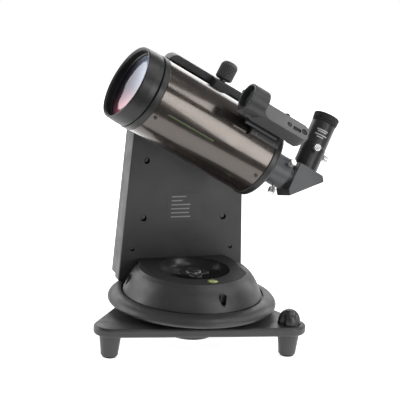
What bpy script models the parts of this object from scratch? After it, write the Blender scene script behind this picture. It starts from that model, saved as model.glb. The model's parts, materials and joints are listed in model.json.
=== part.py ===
"""Maksutov telescope on a single-arm tabletop alt-azimuth mount, in metres, +Z up.

The azimuth axis is X = Y = 0 and the origin is the flat underside of the centre hub.  The altitude
axis is parallel to Y.  The arm stands behind the tube (+Y), and the tube points towards -X and up.
"""

from math import atan2, cos, pi, radians, sin, sqrt, tan

import bmesh
import bpy
from mathutils import Matrix, Vector

GAP = 0.0003
EPS = 1e-7
COARSE = 12
MEDIUM = 20
FINE = 28
ROUND = 36

# Base plate, feet and hub
FOOT_CIRCLE = 0.1365
FOOT_ANGLES = {"left": radians(-157.8), "right": radians(-37.8), "rear": radians(82.2)}
FLOOR_Z = -0.0075
PLATE_BOTTOM = 0.0247
PLATE_TOP = 0.0369
PLATE_CORNER_RADIUS = 0.022
HUB_RADIUS = 0.031
BUSH_RADIUS = 0.014
FOOT_TOP_RADIUS = 0.0146
FOOT_END_RADIUS = 0.0114
PAD_RADIUS = 0.0095
PAD_HEIGHT = 0.004
ADJUSTABLE = ("right", "rear")
STUD_RADIUS = 0.0036
STUD_REACH = 0.0120
KNOB_RADIUS = 0.0146
KNOB_HEIGHT = 0.0215
KNOB_POCKET_RADIUS = 0.0154
KNOB_POCKET_DEPTH = 0.0022

# Turntable and the housing on it
SPINDLE_RADIUS = 0.008
SPINDLE_NECK_RADIUS = 0.0040
SPINDLE_SHOULDER = 0.0720
SPINDLE_TOP = 0.0840
SPINDLE_FOOT_RADIUS = 0.0125
SPINDLE_FOOT_TOP = 0.0235
BUSH_TOP = 0.0130
DISC_BOTTOM = 0.0440
DISC_TOP = 0.0585
HOUSING_FOOT_RADIUS = 0.0925
HOUSING_TOP_RADIUS = 0.0722
HOUSING_TOP = 0.0905
HOUSING_WALL = 0.0026
PANEL_RADIUS = 0.0705
PANEL_HALF_WIDTH = 0.0645
PANEL_THICKNESS = 0.0024
DISH_RADIUS = 0.0497
DISH_FLOOR = 0.0695
STAR_RADIUS = 0.022
VIAL_RADIUS = 0.0073

# Arm
ARM_FACE_Y = 0.0516
ARM_SHELL_BACK_Y = 0.0738
ARM_COVER_BACK_Y = 0.1010
ARM_BOTTOM = 0.0592
ARM_TOP = 0.3355
ARM_HALF_WIDTH_AT_ZERO = 0.0913
ARM_TAPER = 0.0567
ARM_SHOULDER_RADIUS = 0.055
ARM_WALL = 0.0026
COVER_INSET = 0.0045
ALTITUDE_Z = 0.2856
AXLE_RADIUS = 0.022

# Tube, measured along the optical axis from the altitude axis, towards the sky
TUBE_Y = -0.022
TUBE_PITCH = radians(29.5)
FRONT_RIM = 0.1298
RING_BACK = 0.1066
CELL_FRONT = 0.1058
CELL_BACK = 0.0966
CELL_INNER_END = 0.0880
NECK_RADIUS = 0.0484
NECK_END = 0.1172
LENS_EDGE = 0.1175
LENS_SEAT = 0.1035
TUBE_BACK = -0.0762
REAR_FACE = -0.0900
REAR_SPIGOT_END = -0.0660
TUBE_RADIUS = 0.0510
TUBE_WALL = 0.0016
RING_RADIUS = 0.0504
RING_BACK_RADIUS = 0.0511
CELL_RADIUS = 0.0518
LENS_RADIUS = 0.0464
VISUAL_BACK_RADIUS = 0.0214
VISUAL_BACK_END = -0.1255
BACK_SCREW_U = -0.1178
BARREL_RADIUS = 0.0157
FOCUS_SHAFT_RADIUS = 0.0030
FOCUS_KNOB_RADIUS = 0.0108
FOCUS_KNOB_LENGTH = 0.0150
SCREW_HOLE_RADIUS = 0.0023
THUMB_RADIUS = 0.0048

# Finder, measured outwards from the optical axis
FINDER_ANGLE = radians(47)
FINDER_HOOD_RADIUS = 0.018
FINDER_BORE_RADIUS = 0.0150
FINDER_HOOD_CENTRE = 0.0875
FINDER_HOOD_FRONT = 0.0030
FINDER_HOOD_BACK = -0.0215
FINDER_TOP = 0.0836
FINDER_LOW = 0.0655
FINDER_HALF_WIDTH = 0.0126
DIAL_U = -0.0935
DIAL_RADIUS = 0.0040
ADJUSTER_HOLE_RADIUS = 0.0018

# Diagonal and eyepiece, measured from where the two optical axes cross
DIAGONAL_CENTRE = -0.151
DIAGONAL_TURN = radians(17)
HOLDER_RADIUS = 0.0169
HOLDER_END = 0.0525
HOLDER_SCREW_HEIGHT = 0.0470
EYEPIECE_RADIUS = 0.0164

# Saddle and dovetail
SADDLE_BACK_Y = 0.0500
SADDLE_FRONT_Y = 0.0320
SADDLE_TOP = 0.062
SADDLE_HALF_LENGTH = 0.075
DOVETAIL_HALF_WIDTH = 0.022
SADDLE_FLOOR = 0.0078
SADDLE_LOW = -0.040
SADDLE_WALL = 0.010
CLAMP_LEAN = radians(10)
CLAMP_HEIGHT = 0.064
CLAMP_OUT = 0.050
CLAMP_U = -0.0035
CLAMP_SCREW_RADIUS = 0.0042
CLAMP_TIP = 0.0498
JAW_TOP = 0.0465

TUBE_FRAME = Matrix.Translation((0, TUBE_Y, ALTITUDE_Z)) @ Matrix.Rotation(TUBE_PITCH - pi / 2, 4, "Y")
FINDER_FRAME = TUBE_FRAME @ Matrix.Rotation(FINDER_ANGLE - pi / 2, 4, "Z")
DIAGONAL_FRAME = (TUBE_FRAME @ Matrix.Translation((0, 0, DIAGONAL_CENTRE))
                  @ Matrix.Rotation(DIAGONAL_TURN, 4, "Z"))
EYEPIECE_FRAME = DIAGONAL_FRAME @ Matrix.Rotation(pi / 2, 4, "Y")

FINISHES = {
    "black_plastic": ((0.020, 0.020, 0.022), 0.45, 0.0),
    "grey_plastic": ((0.060, 0.060, 0.063), 0.50, 0.0),
    "satin_black": ((0.018, 0.018, 0.020), 0.30, 0.6),
    "bronze_paint": ((0.130, 0.100, 0.080), 0.28, 0.8),
    "steel": ((0.62, 0.62, 0.63), 0.25, 1.0),
    "rubber": ((0.015, 0.015, 0.015), 0.80, 0.0),
    "coated_glass": ((0.20, 0.18, 0.42), 0.05, 0.0),
    "clear_glass": ((0.60, 0.68, 0.70), 0.05, 0.0),
    "mirror": ((0.90, 0.90, 0.92), 0.03, 1.0),
    "brass": ((0.72, 0.55, 0.25), 0.30, 1.0),
    "level_fluid": ((0.62, 0.75, 0.15), 0.15, 0.0),
}


# ---------------------------------------------------------------- helpers

def clear_scene():
    for old in list(bpy.data.objects):
        bpy.data.objects.remove(old, do_unlink=True)


def own_material(name, finish):
    """A Principled material of this object's own, in one of the finishes above."""
    colour, roughness, metallic = FINISHES[finish]
    material = bpy.data.materials.new(name)
    material.use_nodes = True
    shader = material.node_tree.nodes["Principled BSDF"]
    shader.inputs["Base Color"].default_value = (*colour, 1.0)
    shader.inputs["Roughness"].default_value = roughness
    shader.inputs["Metallic"].default_value = metallic
    return material


def add_object(name, bm, finish, frame):
    """Turn a bmesh into a scene object, with smooth shading and its own material."""
    bmesh.ops.recalc_face_normals(bm, faces=bm.faces)
    mesh = bpy.data.meshes.new(name)
    bm.to_mesh(mesh)
    bm.free()
    mesh.shade_smooth()
    mesh.set_sharp_from_angle(angle=radians(35))
    piece = bpy.data.objects.new(name, mesh)
    piece.matrix_world = frame
    bpy.context.scene.collection.objects.link(piece)
    if finish:
        mesh.materials.append(own_material(name, finish))
    return piece


def turned_bmesh(profile, segments):
    """Body of revolution about Z from (radius, height) points; it closes on the axis or on itself."""
    bm = bmesh.new()
    angles = [2 * pi * i / segments for i in range(segments)]
    rings = []
    for radius, height in profile:
        if radius < EPS:
            rings.append([bm.verts.new((0, 0, height))])
        else:
            rings.append([bm.verts.new((radius * cos(a), radius * sin(a), height)) for a in angles])
    on_axis = profile[0][0] < EPS
    following = rings[1:] if on_axis else rings[1:] + rings[:1]
    for ring, other in zip(rings, following):
        for i in range(segments):
            j = (i + 1) % segments
            corners = (ring[i % len(ring)], ring[j % len(ring)],
                       other[j % len(other)], other[i % len(other)])
            bm.faces.new(list(dict.fromkeys(corners)))
    return bm


def turned(name, profile, finish, frame=Matrix.Identity(4), segments=MEDIUM):
    return add_object(name, turned_bmesh(profile, segments), finish, frame)


def prism_bmesh(outline, low, high, plane="XY"):
    """Straight prism on a flat outline, from low to high along the plane's normal."""
    place = {"XY": lambda a, b, c: (a, b, c),
             "XZ": lambda a, b, c: (a, c, b),
             "YZ": lambda a, b, c: (c, a, b)}[plane]
    bm = bmesh.new()
    lower = [bm.verts.new(place(a, b, low)) for a, b in outline]
    upper = [bm.verts.new(place(a, b, high)) for a, b in outline]
    bm.faces.new(lower)
    bm.faces.new(upper)
    for i in range(len(outline)):
        j = (i + 1) % len(outline)
        bm.faces.new((lower[i], lower[j], upper[j], upper[i]))
    return bm


def prism(name, outline, low, high, finish, plane="XY", frame=Matrix.Identity(4)):
    return add_object(name, prism_bmesh(outline, low, high, plane), finish, frame)


def arc(centre, radius, start, end, steps):
    """Points on an arc, ends included."""
    turn = [start + (end - start) * i / steps for i in range(steps + 1)]
    return [(centre[0] + radius * cos(a), centre[1] + radius * sin(a)) for a in turn]


def rounded(corners, radii, steps=4):
    """A polygon with each corner rounded by its own radius."""
    points = []
    count = len(corners)
    for i, corner in enumerate(corners):
        here = Vector(corner)
        before = (Vector(corners[i - 1]) - here).normalized()
        after = (Vector(corners[(i + 1) % count]) - here).normalized()
        if radii[i] < EPS:
            points.append(tuple(here))
            continue
        half = before.angle(after) / 2
        centre = here + (before + after).normalized() * (radii[i] / sin(half))
        first = here + before * (radii[i] / tan(half)) - centre
        last = here + after * (radii[i] / tan(half)) - centre
        start = atan2(first.y, first.x)
        sweep = (atan2(last.y, last.x) - start + pi) % (2 * pi) - pi
        points += arc(centre, radii[i], start, start + sweep, steps)
    return points


def box_outline(half_a, half_b, centre=(0.0, 0.0)):
    a, b = centre
    return [(a - half_a, b - half_b), (a + half_a, b - half_b),
            (a + half_a, b + half_b), (a - half_a, b + half_b)]


def as_tool(tool):
    """A cutter or an addition stays in the file as a wire shape that isn't part of the model."""
    tool.hide_render = True
    tool.display_type = "WIRE"
    return tool


def boolean(piece, operation, tool):
    change = piece.modifiers.new(operation.lower(), "BOOLEAN")
    change.operation = operation
    change.solver = "EXACT"
    change.object = as_tool(tool)


def bevel(piece, width, segments=2, angle=radians(40)):
    edge = piece.modifiers.new("bevel", "BEVEL")
    edge.width = width
    edge.segments = segments
    edge.limit_method = "ANGLE"
    edge.angle_limit = angle


def drill(piece, radius, low, high, frame=Matrix.Identity(4), segments=COARSE):
    """Cut a round hole along the frame's Z."""
    tool = turned(f"{piece.name}_drill", [(0, low), (radius, low), (radius, high), (0, high)],
                  None, frame, segments)
    boolean(piece, "DIFFERENCE", tool)


def polar(radius, angle, z=0.0):
    return Vector((radius * cos(angle), radius * sin(angle), z))


def lobed_outline(radius, depth, lobes, steps):
    """Outline of a knob whose radius rises and falls smoothly with each lobe."""
    count = lobes * steps
    angles = [2 * pi * i / count for i in range(count)]
    return [polar(radius - depth * (0.5 - 0.5 * cos(lobes * a)), a).xy for a in angles]


# ---------------------------------------------------------------- base

def base_outline():
    """Three-cornered plate: an arc about each foot, joined by straight edges."""
    outline = []
    for angle in FOOT_ANGLES.values():
        centre = polar(FOOT_CIRCLE, angle).xy
        outline += arc(centre, PLATE_CORNER_RADIUS, angle - pi / 3, angle + pi / 3, 8)
    return outline


def build_base():
    plate = prism("base_plate", base_outline(), PLATE_BOTTOM, PLATE_TOP, "black_plastic")
    bevel(plate, 0.003)
    drill(plate, SPINDLE_RADIUS + GAP, 0.0, 0.06, segments=MEDIUM)
    for side in ADJUSTABLE:
        where = Matrix.Translation(polar(FOOT_CIRCLE, FOOT_ANGLES[side]))
        drill(plate, STUD_RADIUS + 2 * GAP, 0.0, 0.06, where)
        drill(plate, KNOB_POCKET_RADIUS, PLATE_TOP - KNOB_POCKET_DEPTH, 0.06, where, FINE)
    hub_top = PLATE_BOTTOM - GAP
    turned("centre_hub", [(BUSH_RADIUS + GAP, 0.0), (HUB_RADIUS - 0.0015, 0.0), (HUB_RADIUS, 0.0015),
                          (HUB_RADIUS + 0.003, hub_top), (BUSH_RADIUS + GAP, hub_top)],
           "black_plastic")
    turned("tripod_bush", [(0, 0), (BUSH_RADIUS, 0), (BUSH_RADIUS, BUSH_TOP), (0, BUSH_TOP)], "steel")
    foot = BUSH_TOP + GAP
    turned("azimuth_spindle", [(0, foot), (SPINDLE_FOOT_RADIUS, foot), (SPINDLE_FOOT_RADIUS, SPINDLE_FOOT_TOP),
                               (SPINDLE_RADIUS, SPINDLE_FOOT_TOP), (SPINDLE_RADIUS, SPINDLE_SHOULDER),
                               (SPINDLE_NECK_RADIUS, SPINDLE_SHOULDER), (SPINDLE_NECK_RADIUS, SPINDLE_TOP),
                               (0, SPINDLE_TOP)], "steel")


def build_feet():
    """Tapered feet with rubber pads; the two adjustable ones carry a stud that rises into a knob."""
    for side, angle in FOOT_ANGLES.items():
        where = Matrix.Translation(polar(FOOT_CIRCLE, angle))
        top = PLATE_BOTTOM - GAP
        rim = FLOOR_Z + PAD_HEIGHT - 0.001
        seat = FLOOR_Z + PAD_HEIGHT + GAP
        profile = [(0, seat), (PAD_RADIUS + GAP, seat), (PAD_RADIUS + GAP, rim), (FOOT_END_RADIUS, rim),
                   (FOOT_TOP_RADIUS - 0.0008, top - 0.002), (FOOT_TOP_RADIUS, top)]
        if side in ADJUSTABLE:
            stud_top = PLATE_TOP + STUD_REACH
            profile += [(STUD_RADIUS, top), (STUD_RADIUS, stud_top), (0, stud_top)]
        else:
            profile += [(0, top)]
        turned(f"{side}_foot", profile, "black_plastic", where, 20)
        turned(f"{side}_foot_pad", [(0, FLOOR_Z), (PAD_RADIUS - 0.0008, FLOOR_Z),
                                    (PAD_RADIUS, FLOOR_Z + 0.0008), (PAD_RADIUS, seat - GAP),
                                    (0, seat - GAP)], "rubber", where, 20)


def build_levelling_knob(side):
    """Domed nut with lobes, bored from below for the foot's stud."""
    where = Matrix.Translation(polar(FOOT_CIRCLE, FOOT_ANGLES[side]))
    bottom = PLATE_TOP - KNOB_POCKET_DEPTH + GAP
    bm = bmesh.new()
    rings = []
    for level in (0.0, 0.35, 0.65, 0.88, 1.0):
        size = sqrt(1.0 - level ** 2.6) * 0.92 + 0.08
        flat = lobed_outline(KNOB_RADIUS * size, 0.0024 * size, 6, 4)
        rings.append([bm.verts.new((x, y, bottom + KNOB_HEIGHT * level)) for x, y in flat])
    count = len(rings[0])
    for ring, other in zip(rings, rings[1:]):
        for i in range(count):
            j = (i + 1) % count
            bm.faces.new((ring[i], ring[j], other[j], other[i]))
    bm.faces.new(rings[0])
    bm.faces.new(rings[-1])
    knob = add_object(f"{side}_levelling_knob", bm, "black_plastic", where)
    drill(knob, STUD_RADIUS + 2 * GAP, 0.0, PLATE_TOP + STUD_REACH + 0.0015, where)


# ---------------------------------------------------------------- turntable

def build_turntable_disc():
    rim = [(0.1068, DISC_BOTTOM), (0.1098, 0.0446), (0.1117, 0.0459), (0.1123, 0.0478), (0.1120, 0.0495),
           (0.1104, 0.0522), (0.1074, 0.0550), (0.1032, 0.0571), (0.0985, 0.0582), (0.0945, DISC_TOP)]
    turned("turntable_disc", [(SPINDLE_RADIUS + GAP, DISC_BOTTOM), *rim, (SPINDLE_RADIUS + GAP, DISC_TOP)],
           "black_plastic", segments=ROUND)


def housing_profile(inset):
    """Outer side of the domed housing, from its foot up, moved inwards by inset."""
    shape = [(HOUSING_FOOT_RADIUS, DISC_TOP + GAP), (0.0893, 0.066), (0.0862, 0.073),
             (0.0822, 0.080), (0.0775, 0.0860), (0.0742, 0.0888)]
    return [(radius - inset, z - inset * 0.6 if z > 0.06 else z) for radius, z in shape]


def panel_outline(grow, back):
    """Dark inlay on the housing: a big arc in front, flattened sides and cut rear corners."""
    half = PANEL_HALF_WIDTH + grow
    radius = PANEL_RADIUS + grow
    start = atan2(-sqrt(radius ** 2 - half ** 2), half)
    front = arc((0, 0), radius, start, -pi - start, 15)
    corner = ARM_FACE_Y - 0.012
    return front + [(-half, corner), (-half + 0.004, back), (half - 0.004, back), (half, corner)]


def build_housing():
    inner = housing_profile(HOUSING_WALL)
    outer = housing_profile(0.0)
    inner[0] = (inner[0][0], outer[0][1])
    roof = HOUSING_TOP - HOUSING_WALL
    profile = ([(0, HOUSING_TOP), (HOUSING_TOP_RADIUS, HOUSING_TOP)] + outer[::-1] + inner
               + [(HOUSING_TOP_RADIUS - HOUSING_WALL, roof), (0, roof)])
    housing = turned("housing", profile, "black_plastic", segments=ROUND)
    behind = prism("housing_rear_cut", box_outline(0.2, 0.1, (0, ARM_FACE_Y - GAP + 0.1)), 0.0, 0.2, None)
    boolean(housing, "DIFFERENCE", behind)
    inlay = prism("housing_inlay_cut", panel_outline(GAP, ARM_FACE_Y + 0.01), 0.080, 0.12, None)
    boolean(housing, "DIFFERENCE", inlay)
    for angle in (radians(-81), radians(169)):
        drill(housing, 0.0046, 0.0665, 0.12, Matrix.Translation(polar(0.0868, angle)))


def build_top_panel():
    """The inlay with its bowl, whose floor has a hole for the spindle."""
    top = HOUSING_TOP + GAP
    outline = panel_outline(0.0, ARM_FACE_Y - 2 * GAP)
    panel = prism("top_panel", outline, top - PANEL_THICKNESS, top, "grey_plastic")
    wall = 0.0015
    bowl_floor = DISH_FLOOR
    side = [(0.030, bowl_floor), (0.0405, bowl_floor + 0.0055), (0.0465, bowl_floor + 0.0125),
            (DISH_RADIUS, top)]
    outer = [(radius + wall, z - wall) for radius, z in side]
    bowl = turned("bowl_shape", [(0, bowl_floor - wall)] + outer + [(0, top - 0.0002)], None, segments=FINE)
    boolean(panel, "UNION", bowl)
    hollow = turned("bowl_hollow", [(0, bowl_floor)] + side + [(DISH_RADIUS + 0.001, top + 0.01),
                                                              (0, top + 0.01)], None, segments=FINE)
    boolean(panel, "DIFFERENCE", hollow)
    drill(panel, SPINDLE_RADIUS + GAP, 0.05, 0.12, segments=MEDIUM)
    vial = Matrix.Translation((0.007, -0.0595, 0))
    seat = top - 0.0012
    drill(panel, VIAL_RADIUS + GAP, seat, 0.12, vial, 24)
    turned("bubble_level", [(0, seat + GAP), (VIAL_RADIUS, seat + GAP), (VIAL_RADIUS, top + 0.0002),
                            (0.0055, top + 0.0010), (0, top + 0.0014)], "level_fluid", vial, 24)


def build_star_knob():
    """Lobed clamp nut in the bowl; it screws onto the spindle's threaded end."""
    low = DISH_FLOOR + 0.0040
    knob = prism("azimuth_clamp_knob", lobed_outline(STAR_RADIUS, 0.0085, 4, 7), low, 0.0860,
                 "black_plastic")
    bevel(knob, 0.0015, 1)
    drill(knob, 0.0043, 0.06, 0.0846)
    cap = turned("star_cap", [(0, 0.0855), (0.0100, 0.0855), (0.0100, 0.0885), (0.0085, 0.0895),
                              (0, 0.0895)], None, segments=24)
    boolean(knob, "UNION", cap)


def gear_outline(radius, depth, teeth, centre):
    outline = []
    for i in range(teeth):
        for offset, reach in ((-0.30, -depth), (-0.14, 0.0), (0.14, 0.0), (0.30, -depth)):
            angle = 2 * pi * (i + offset) / teeth
            outline.append((centre[0] + (radius + reach) * cos(angle),
                            centre[1] + (radius + reach) * sin(angle)))
    return outline


def build_drives():
    """Worm wheels, each on a slipping clutch, and the motor units whose worms hold them."""
    wheel = prism("azimuth_wheel", gear_outline(0.030, 0.0012, 20, (0, 0)), 0.0596, 0.0652, "brass")
    drill(wheel, SPINDLE_RADIUS + GAP, 0.0, 0.1, segments=MEDIUM)
    motor_line = Matrix.Translation((0, -0.0375, 0.0622)) @ Matrix.Rotation(pi / 2, 4, "Y")
    turned("azimuth_drive", [(0, -0.012), (0.0018, -0.012), (0.0018, -0.008), (0.0028, -0.008),
                             (0.0028, 0.008), (0.0018, 0.008), (0.0018, 0.014), (0.0032, 0.014),
                             (0.0032, 0.036), (0, 0.036)], "steel", motor_line, COARSE)
    wheel = prism("altitude_wheel", gear_outline(0.034, 0.0012, 22, (0, ALTITUDE_Z)),
                  0.0800, 0.0860, "brass", "XZ")
    axis = Matrix.Translation((0, 0, ALTITUDE_Z)) @ Matrix.Rotation(-pi / 2, 4, "X")
    drill(wheel, 0.0083, 0.0, 0.2, axis, 24)
    motor_line = Matrix.Translation((0, 0.0830, ALTITUDE_Z - 0.0400)) @ Matrix.Rotation(pi / 2, 4, "Y")
    turned("altitude_drive", [(0, -0.014), (0.002, -0.014), (0.002, -0.009), (0.0050, -0.009),
                              (0.0050, 0.009), (0.002, 0.009), (0.002, 0.014), (0.0090, 0.014),
                              (0.0090, 0.039), (0, 0.039)], "steel", motor_line, COARSE)


# ---------------------------------------------------------------- arm

def arm_outline(inset, low):
    """Front view of the arm: sides that lean in a little and big round shoulders."""
    def half(z):
        return ARM_HALF_WIDTH_AT_ZERO - ARM_TAPER * z - inset
    top = ARM_TOP - inset
    shoulder = ARM_SHOULDER_RADIUS - inset
    return rounded([(-half(low), low), (half(low), low), (half(top), top), (-half(top), top)],
                   [0.003, 0.003, shoulder, shoulder], 6)


def footprint_tool(name, radius):
    """Upright cylinder that keeps the arm's rear corners inside the turntable's rim."""
    return turned(name, [(0, 0.0), (radius, 0.0), (radius, 0.4), (0, 0.4)], None, segments=ROUND)


def build_arm():
    shell = prism("arm_front_shell", arm_outline(0.0, ARM_BOTTOM), ARM_FACE_Y, ARM_SHELL_BACK_Y,
                  "black_plastic", "XZ")
    bevel(shell, 0.0018)
    boolean(shell, "INTERSECT", footprint_tool("arm_footprint", 0.1105))
    hollow = prism("arm_shell_hollow", arm_outline(0.0040, ARM_BOTTOM + 0.004),
                   ARM_FACE_Y + ARM_WALL, ARM_SHELL_BACK_Y + 0.01, None, "XZ")
    boolean(hollow, "INTERSECT", footprint_tool("arm_hollow_footprint", 0.1075))
    boolean(shell, "DIFFERENCE", hollow)
    axis = Matrix.Translation((0, 0, ALTITUDE_Z)) @ Matrix.Rotation(-pi / 2, 4, "X")
    drill(shell, AXLE_RADIUS + GAP, 0.0, 0.2, axis, FINE)
    front = ARM_SHELL_BACK_Y + GAP
    cover = prism("arm_rear_cover", arm_outline(COVER_INSET, ARM_BOTTOM), front, ARM_COVER_BACK_Y,
                  "black_plastic", "XZ")
    boolean(cover, "INTERSECT", footprint_tool("cover_footprint", 0.1085))
    bevel(cover, 0.006, 3, radians(30))
    inner = prism("cover_hollow", arm_outline(COVER_INSET + 0.0075, ARM_BOTTOM + 0.0075),
                  front - 0.01, ARM_COVER_BACK_Y - 0.0035, None, "XZ")
    boolean(inner, "INTERSECT", footprint_tool("cover_hollow_footprint", 0.1015))
    boolean(cover, "DIFFERENCE", inner)
    slot = prism("switch_slot", box_outline(0.0065, 0.0045, (0.030, 0.100)), 0.09, 0.12, None, "XZ")
    boolean(cover, "DIFFERENCE", slot)
    prism("power_switch", rounded(box_outline(0.0030, 0.0042, (0.0285, 0.100)), [0.0006] * 4, 1),
          ARM_COVER_BACK_Y - 0.006, ARM_COVER_BACK_Y + 0.0015, "black_plastic", "XZ")
    build_arm_screws(shell)


def build_arm_screws(shell):
    """Countersunk screws in deep round recesses of the front shell."""
    places = ((-0.0562, 0.2257), (-0.0564, 0.1462), (0.0558, 0.1452))
    for number, (x, z) in enumerate(places, start=1):
        axis = Matrix.Translation((x, 0, z)) @ Matrix.Rotation(-pi / 2, 4, "X")
        drill(shell, 0.0042, 0.0, ARM_FACE_Y + 0.02, axis, COARSE)
        turned(f"arm_screw_{number}", [(0, ARM_FACE_Y + 0.0008), (0.0030, ARM_FACE_Y + 0.0010),
                                       (0.0038, ARM_FACE_Y + 0.0022), (0.0038, ARM_FACE_Y + 0.0034),
                                       (0.0018, ARM_FACE_Y + 0.0044), (0.0018, ARM_FACE_Y + 0.019),
                                       (0, ARM_FACE_Y + 0.019)], "steel", axis, COARSE)


# ---------------------------------------------------------------- altitude axle, saddle and clamp

def build_altitude():
    axis = Matrix.Translation((0, 0, ALTITUDE_Z)) @ Matrix.Rotation(-pi / 2, 4, "X")
    turned("altitude_axle", [(0, SADDLE_BACK_Y + GAP), (AXLE_RADIUS, SADDLE_BACK_Y + GAP),
                             (AXLE_RADIUS, 0.0700), (0.0120, 0.0700), (0.0120, 0.0790),
                             (0.0080, 0.0790), (0.0080, 0.0900), (0, 0.0900)], "steel", axis, FINE)
    build_saddle()


def build_saddle():
    """Channel open towards the tube: its lower wall grips the dovetail, its upper one holds the clamp."""
    front = SADDLE_FRONT_Y - TUBE_Y
    back = SADDLE_BACK_Y - TUBE_Y
    floor = back - SADDLE_FLOOR
    low = SADDLE_LOW
    grip = -DOVETAIL_HALF_WIDTH - GAP
    inner_wall = SADDLE_TOP - SADDLE_WALL
    section = [(low, front), (grip - 0.0029, front), (grip, front + 0.004), (grip, floor),
               (inner_wall, floor), (inner_wall, front), (SADDLE_TOP, front), (SADDLE_TOP, back), (low, back)]
    saddle = prism("saddle", section, -SADDLE_HALF_LENGTH, SADDLE_HALF_LENGTH, "black_plastic",
                   frame=TUBE_FRAME)
    ends = rounded([(low, -SADDLE_HALF_LENGTH), (SADDLE_TOP, -SADDLE_HALF_LENGTH),
                    (SADDLE_TOP, SADDLE_HALF_LENGTH), (low, SADDLE_HALF_LENGTH)], [0.012] * 4, 5)
    # The prism's outline lies in the frame's X-Z plane: across the tube and along it.
    keep = prism("saddle_ends", ends, front - 0.01, back + 0.01, None, "XZ", TUBE_FRAME)
    boolean(saddle, "INTERSECT", keep)
    lug = prism("clamp_lug", box_outline(0.0058, 0.0085, (SADDLE_TOP - 0.0060, front - 0.0075)),
                CLAMP_U - 0.012, CLAMP_U + 0.012, None, frame=TUBE_FRAME)
    boolean(saddle, "UNION", lug)
    drill(saddle, CLAMP_SCREW_RADIUS + 0.0005, 0.030, 0.080, clamp_frame())


def clamp_frame():
    """Screw axis of the clamp knob: Z points outwards and leans back towards the arm."""
    pivot = Matrix.Translation((CLAMP_HEIGHT, CLAMP_OUT, CLAMP_U))
    turn = Matrix.Rotation(pi / 2, 4, "Y") @ Matrix.Rotation(-CLAMP_LEAN, 4, "X")
    return TUBE_FRAME @ pivot @ turn @ Matrix.Translation((0, 0, -CLAMP_HEIGHT))


def build_clamp():
    """Knurled hand knob on a screw, and the jaw that its tip presses against the dovetail."""
    head = 0.0645
    profile = [(0, CLAMP_TIP), (CLAMP_SCREW_RADIUS, CLAMP_TIP), (CLAMP_SCREW_RADIUS, head), (0.0100, head),
               (0.0116, head + 0.0016), (0.0116, head + 0.0190), (0.0102, head + 0.0224),
               (0.0070, head + 0.0243), (0, head + 0.0250)]
    turned("clamp_knob", profile, "black_plastic", clamp_frame(), FINE)
    low = DOVETAIL_HALF_WIDTH + GAP
    front = SADDLE_FRONT_Y - TUBE_Y + 0.0015
    back = SADDLE_BACK_Y - TUBE_Y - SADDLE_FLOOR - GAP
    section = [(low, back), (low, front + 0.0045), (low + 0.0040, front), (JAW_TOP, front), (JAW_TOP, back)]
    jaw = prism("clamp_jaw", section, CLAMP_U - 0.030, CLAMP_U + 0.030, "steel", frame=TUBE_FRAME)
    foot = prism("jaw_foot", box_outline(0.0050, 0.0083, (JAW_TOP - 0.0051, front - 0.0072)),
                 CLAMP_U - 0.010, CLAMP_U + 0.010, None, frame=TUBE_FRAME)
    boolean(jaw, "UNION", foot)
    bevel(jaw, 0.0005, 1)


# ---------------------------------------------------------------- tube

def lens_arc(edge_radius, sag, edge_height, steps):
    """Points of a hollow lens face from the axis to its edge: the middle lies sag below the edge."""
    ball = (edge_radius ** 2 + sag ** 2) / (2 * sag)
    points = []
    for i in range(steps + 1):
        radius = edge_radius * i / steps
        points.append((radius, edge_height - sag + ball - sqrt(ball ** 2 - radius ** 2)))
    return points


def build_tube():
    turned("tube_shell", [(TUBE_RADIUS - TUBE_WALL, TUBE_BACK), (TUBE_RADIUS, TUBE_BACK),
                          (TUBE_RADIUS, CELL_BACK - GAP), (TUBE_RADIUS - TUBE_WALL, CELL_BACK - GAP)],
           "bronze_paint", TUBE_FRAME, ROUND)
    spigot = TUBE_RADIUS - TUBE_WALL - GAP
    bore = 0.0440
    turned("front_cell", [(bore, CELL_INNER_END), (spigot, CELL_INNER_END), (spigot, CELL_BACK),
                          (CELL_RADIUS, CELL_BACK), (CELL_RADIUS, CELL_FRONT - 0.0008),
                          (CELL_RADIUS - 0.0008, CELL_FRONT), (NECK_RADIUS, CELL_FRONT),
                          (NECK_RADIUS, NECK_END), (LENS_RADIUS + GAP, NECK_END),
                          (LENS_RADIUS + GAP, LENS_SEAT), (bore, LENS_SEAT)],
           "satin_black", TUBE_FRAME, ROUND)
    lip = LENS_EDGE + GAP
    turned("retaining_ring", [(NECK_RADIUS + GAP, RING_BACK), (RING_BACK_RADIUS, RING_BACK),
                              (RING_BACK_RADIUS, 0.1150), (RING_RADIUS, FRONT_RIM - 0.0010),
                              (RING_RADIUS - 0.0008, FRONT_RIM), (0.0478, FRONT_RIM),
                              (0.0466, FRONT_RIM - 0.0025), (0.0466, lip + 0.0027),
                              (0.0450, lip + 0.0012), (0.0450, lip), (NECK_RADIUS + GAP, lip)],
           "satin_black", TUBE_FRAME, ROUND)
    edge_back = LENS_SEAT + GAP
    face = lens_arc(LENS_RADIUS - 0.0010, 0.0078, LENS_EDGE, 4)
    back = lens_arc(LENS_RADIUS - 0.0010, 0.0068, edge_back + 0.0028, 3)
    turned("corrector_lens", back + [(LENS_RADIUS, edge_back + 0.0030), (LENS_RADIUS, LENS_EDGE - 0.0008)]
           + face[::-1], "coated_glass", TUBE_FRAME, ROUND)
    spot = back[0][1] - GAP
    turned("secondary_baffle", [(0.0115, spot - 0.0090), (0.0130, spot - 0.0090), (0.0130, spot + 0.0002),
                                (0.0115, spot + 0.0001)], "satin_black", TUBE_FRAME, 24)


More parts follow.
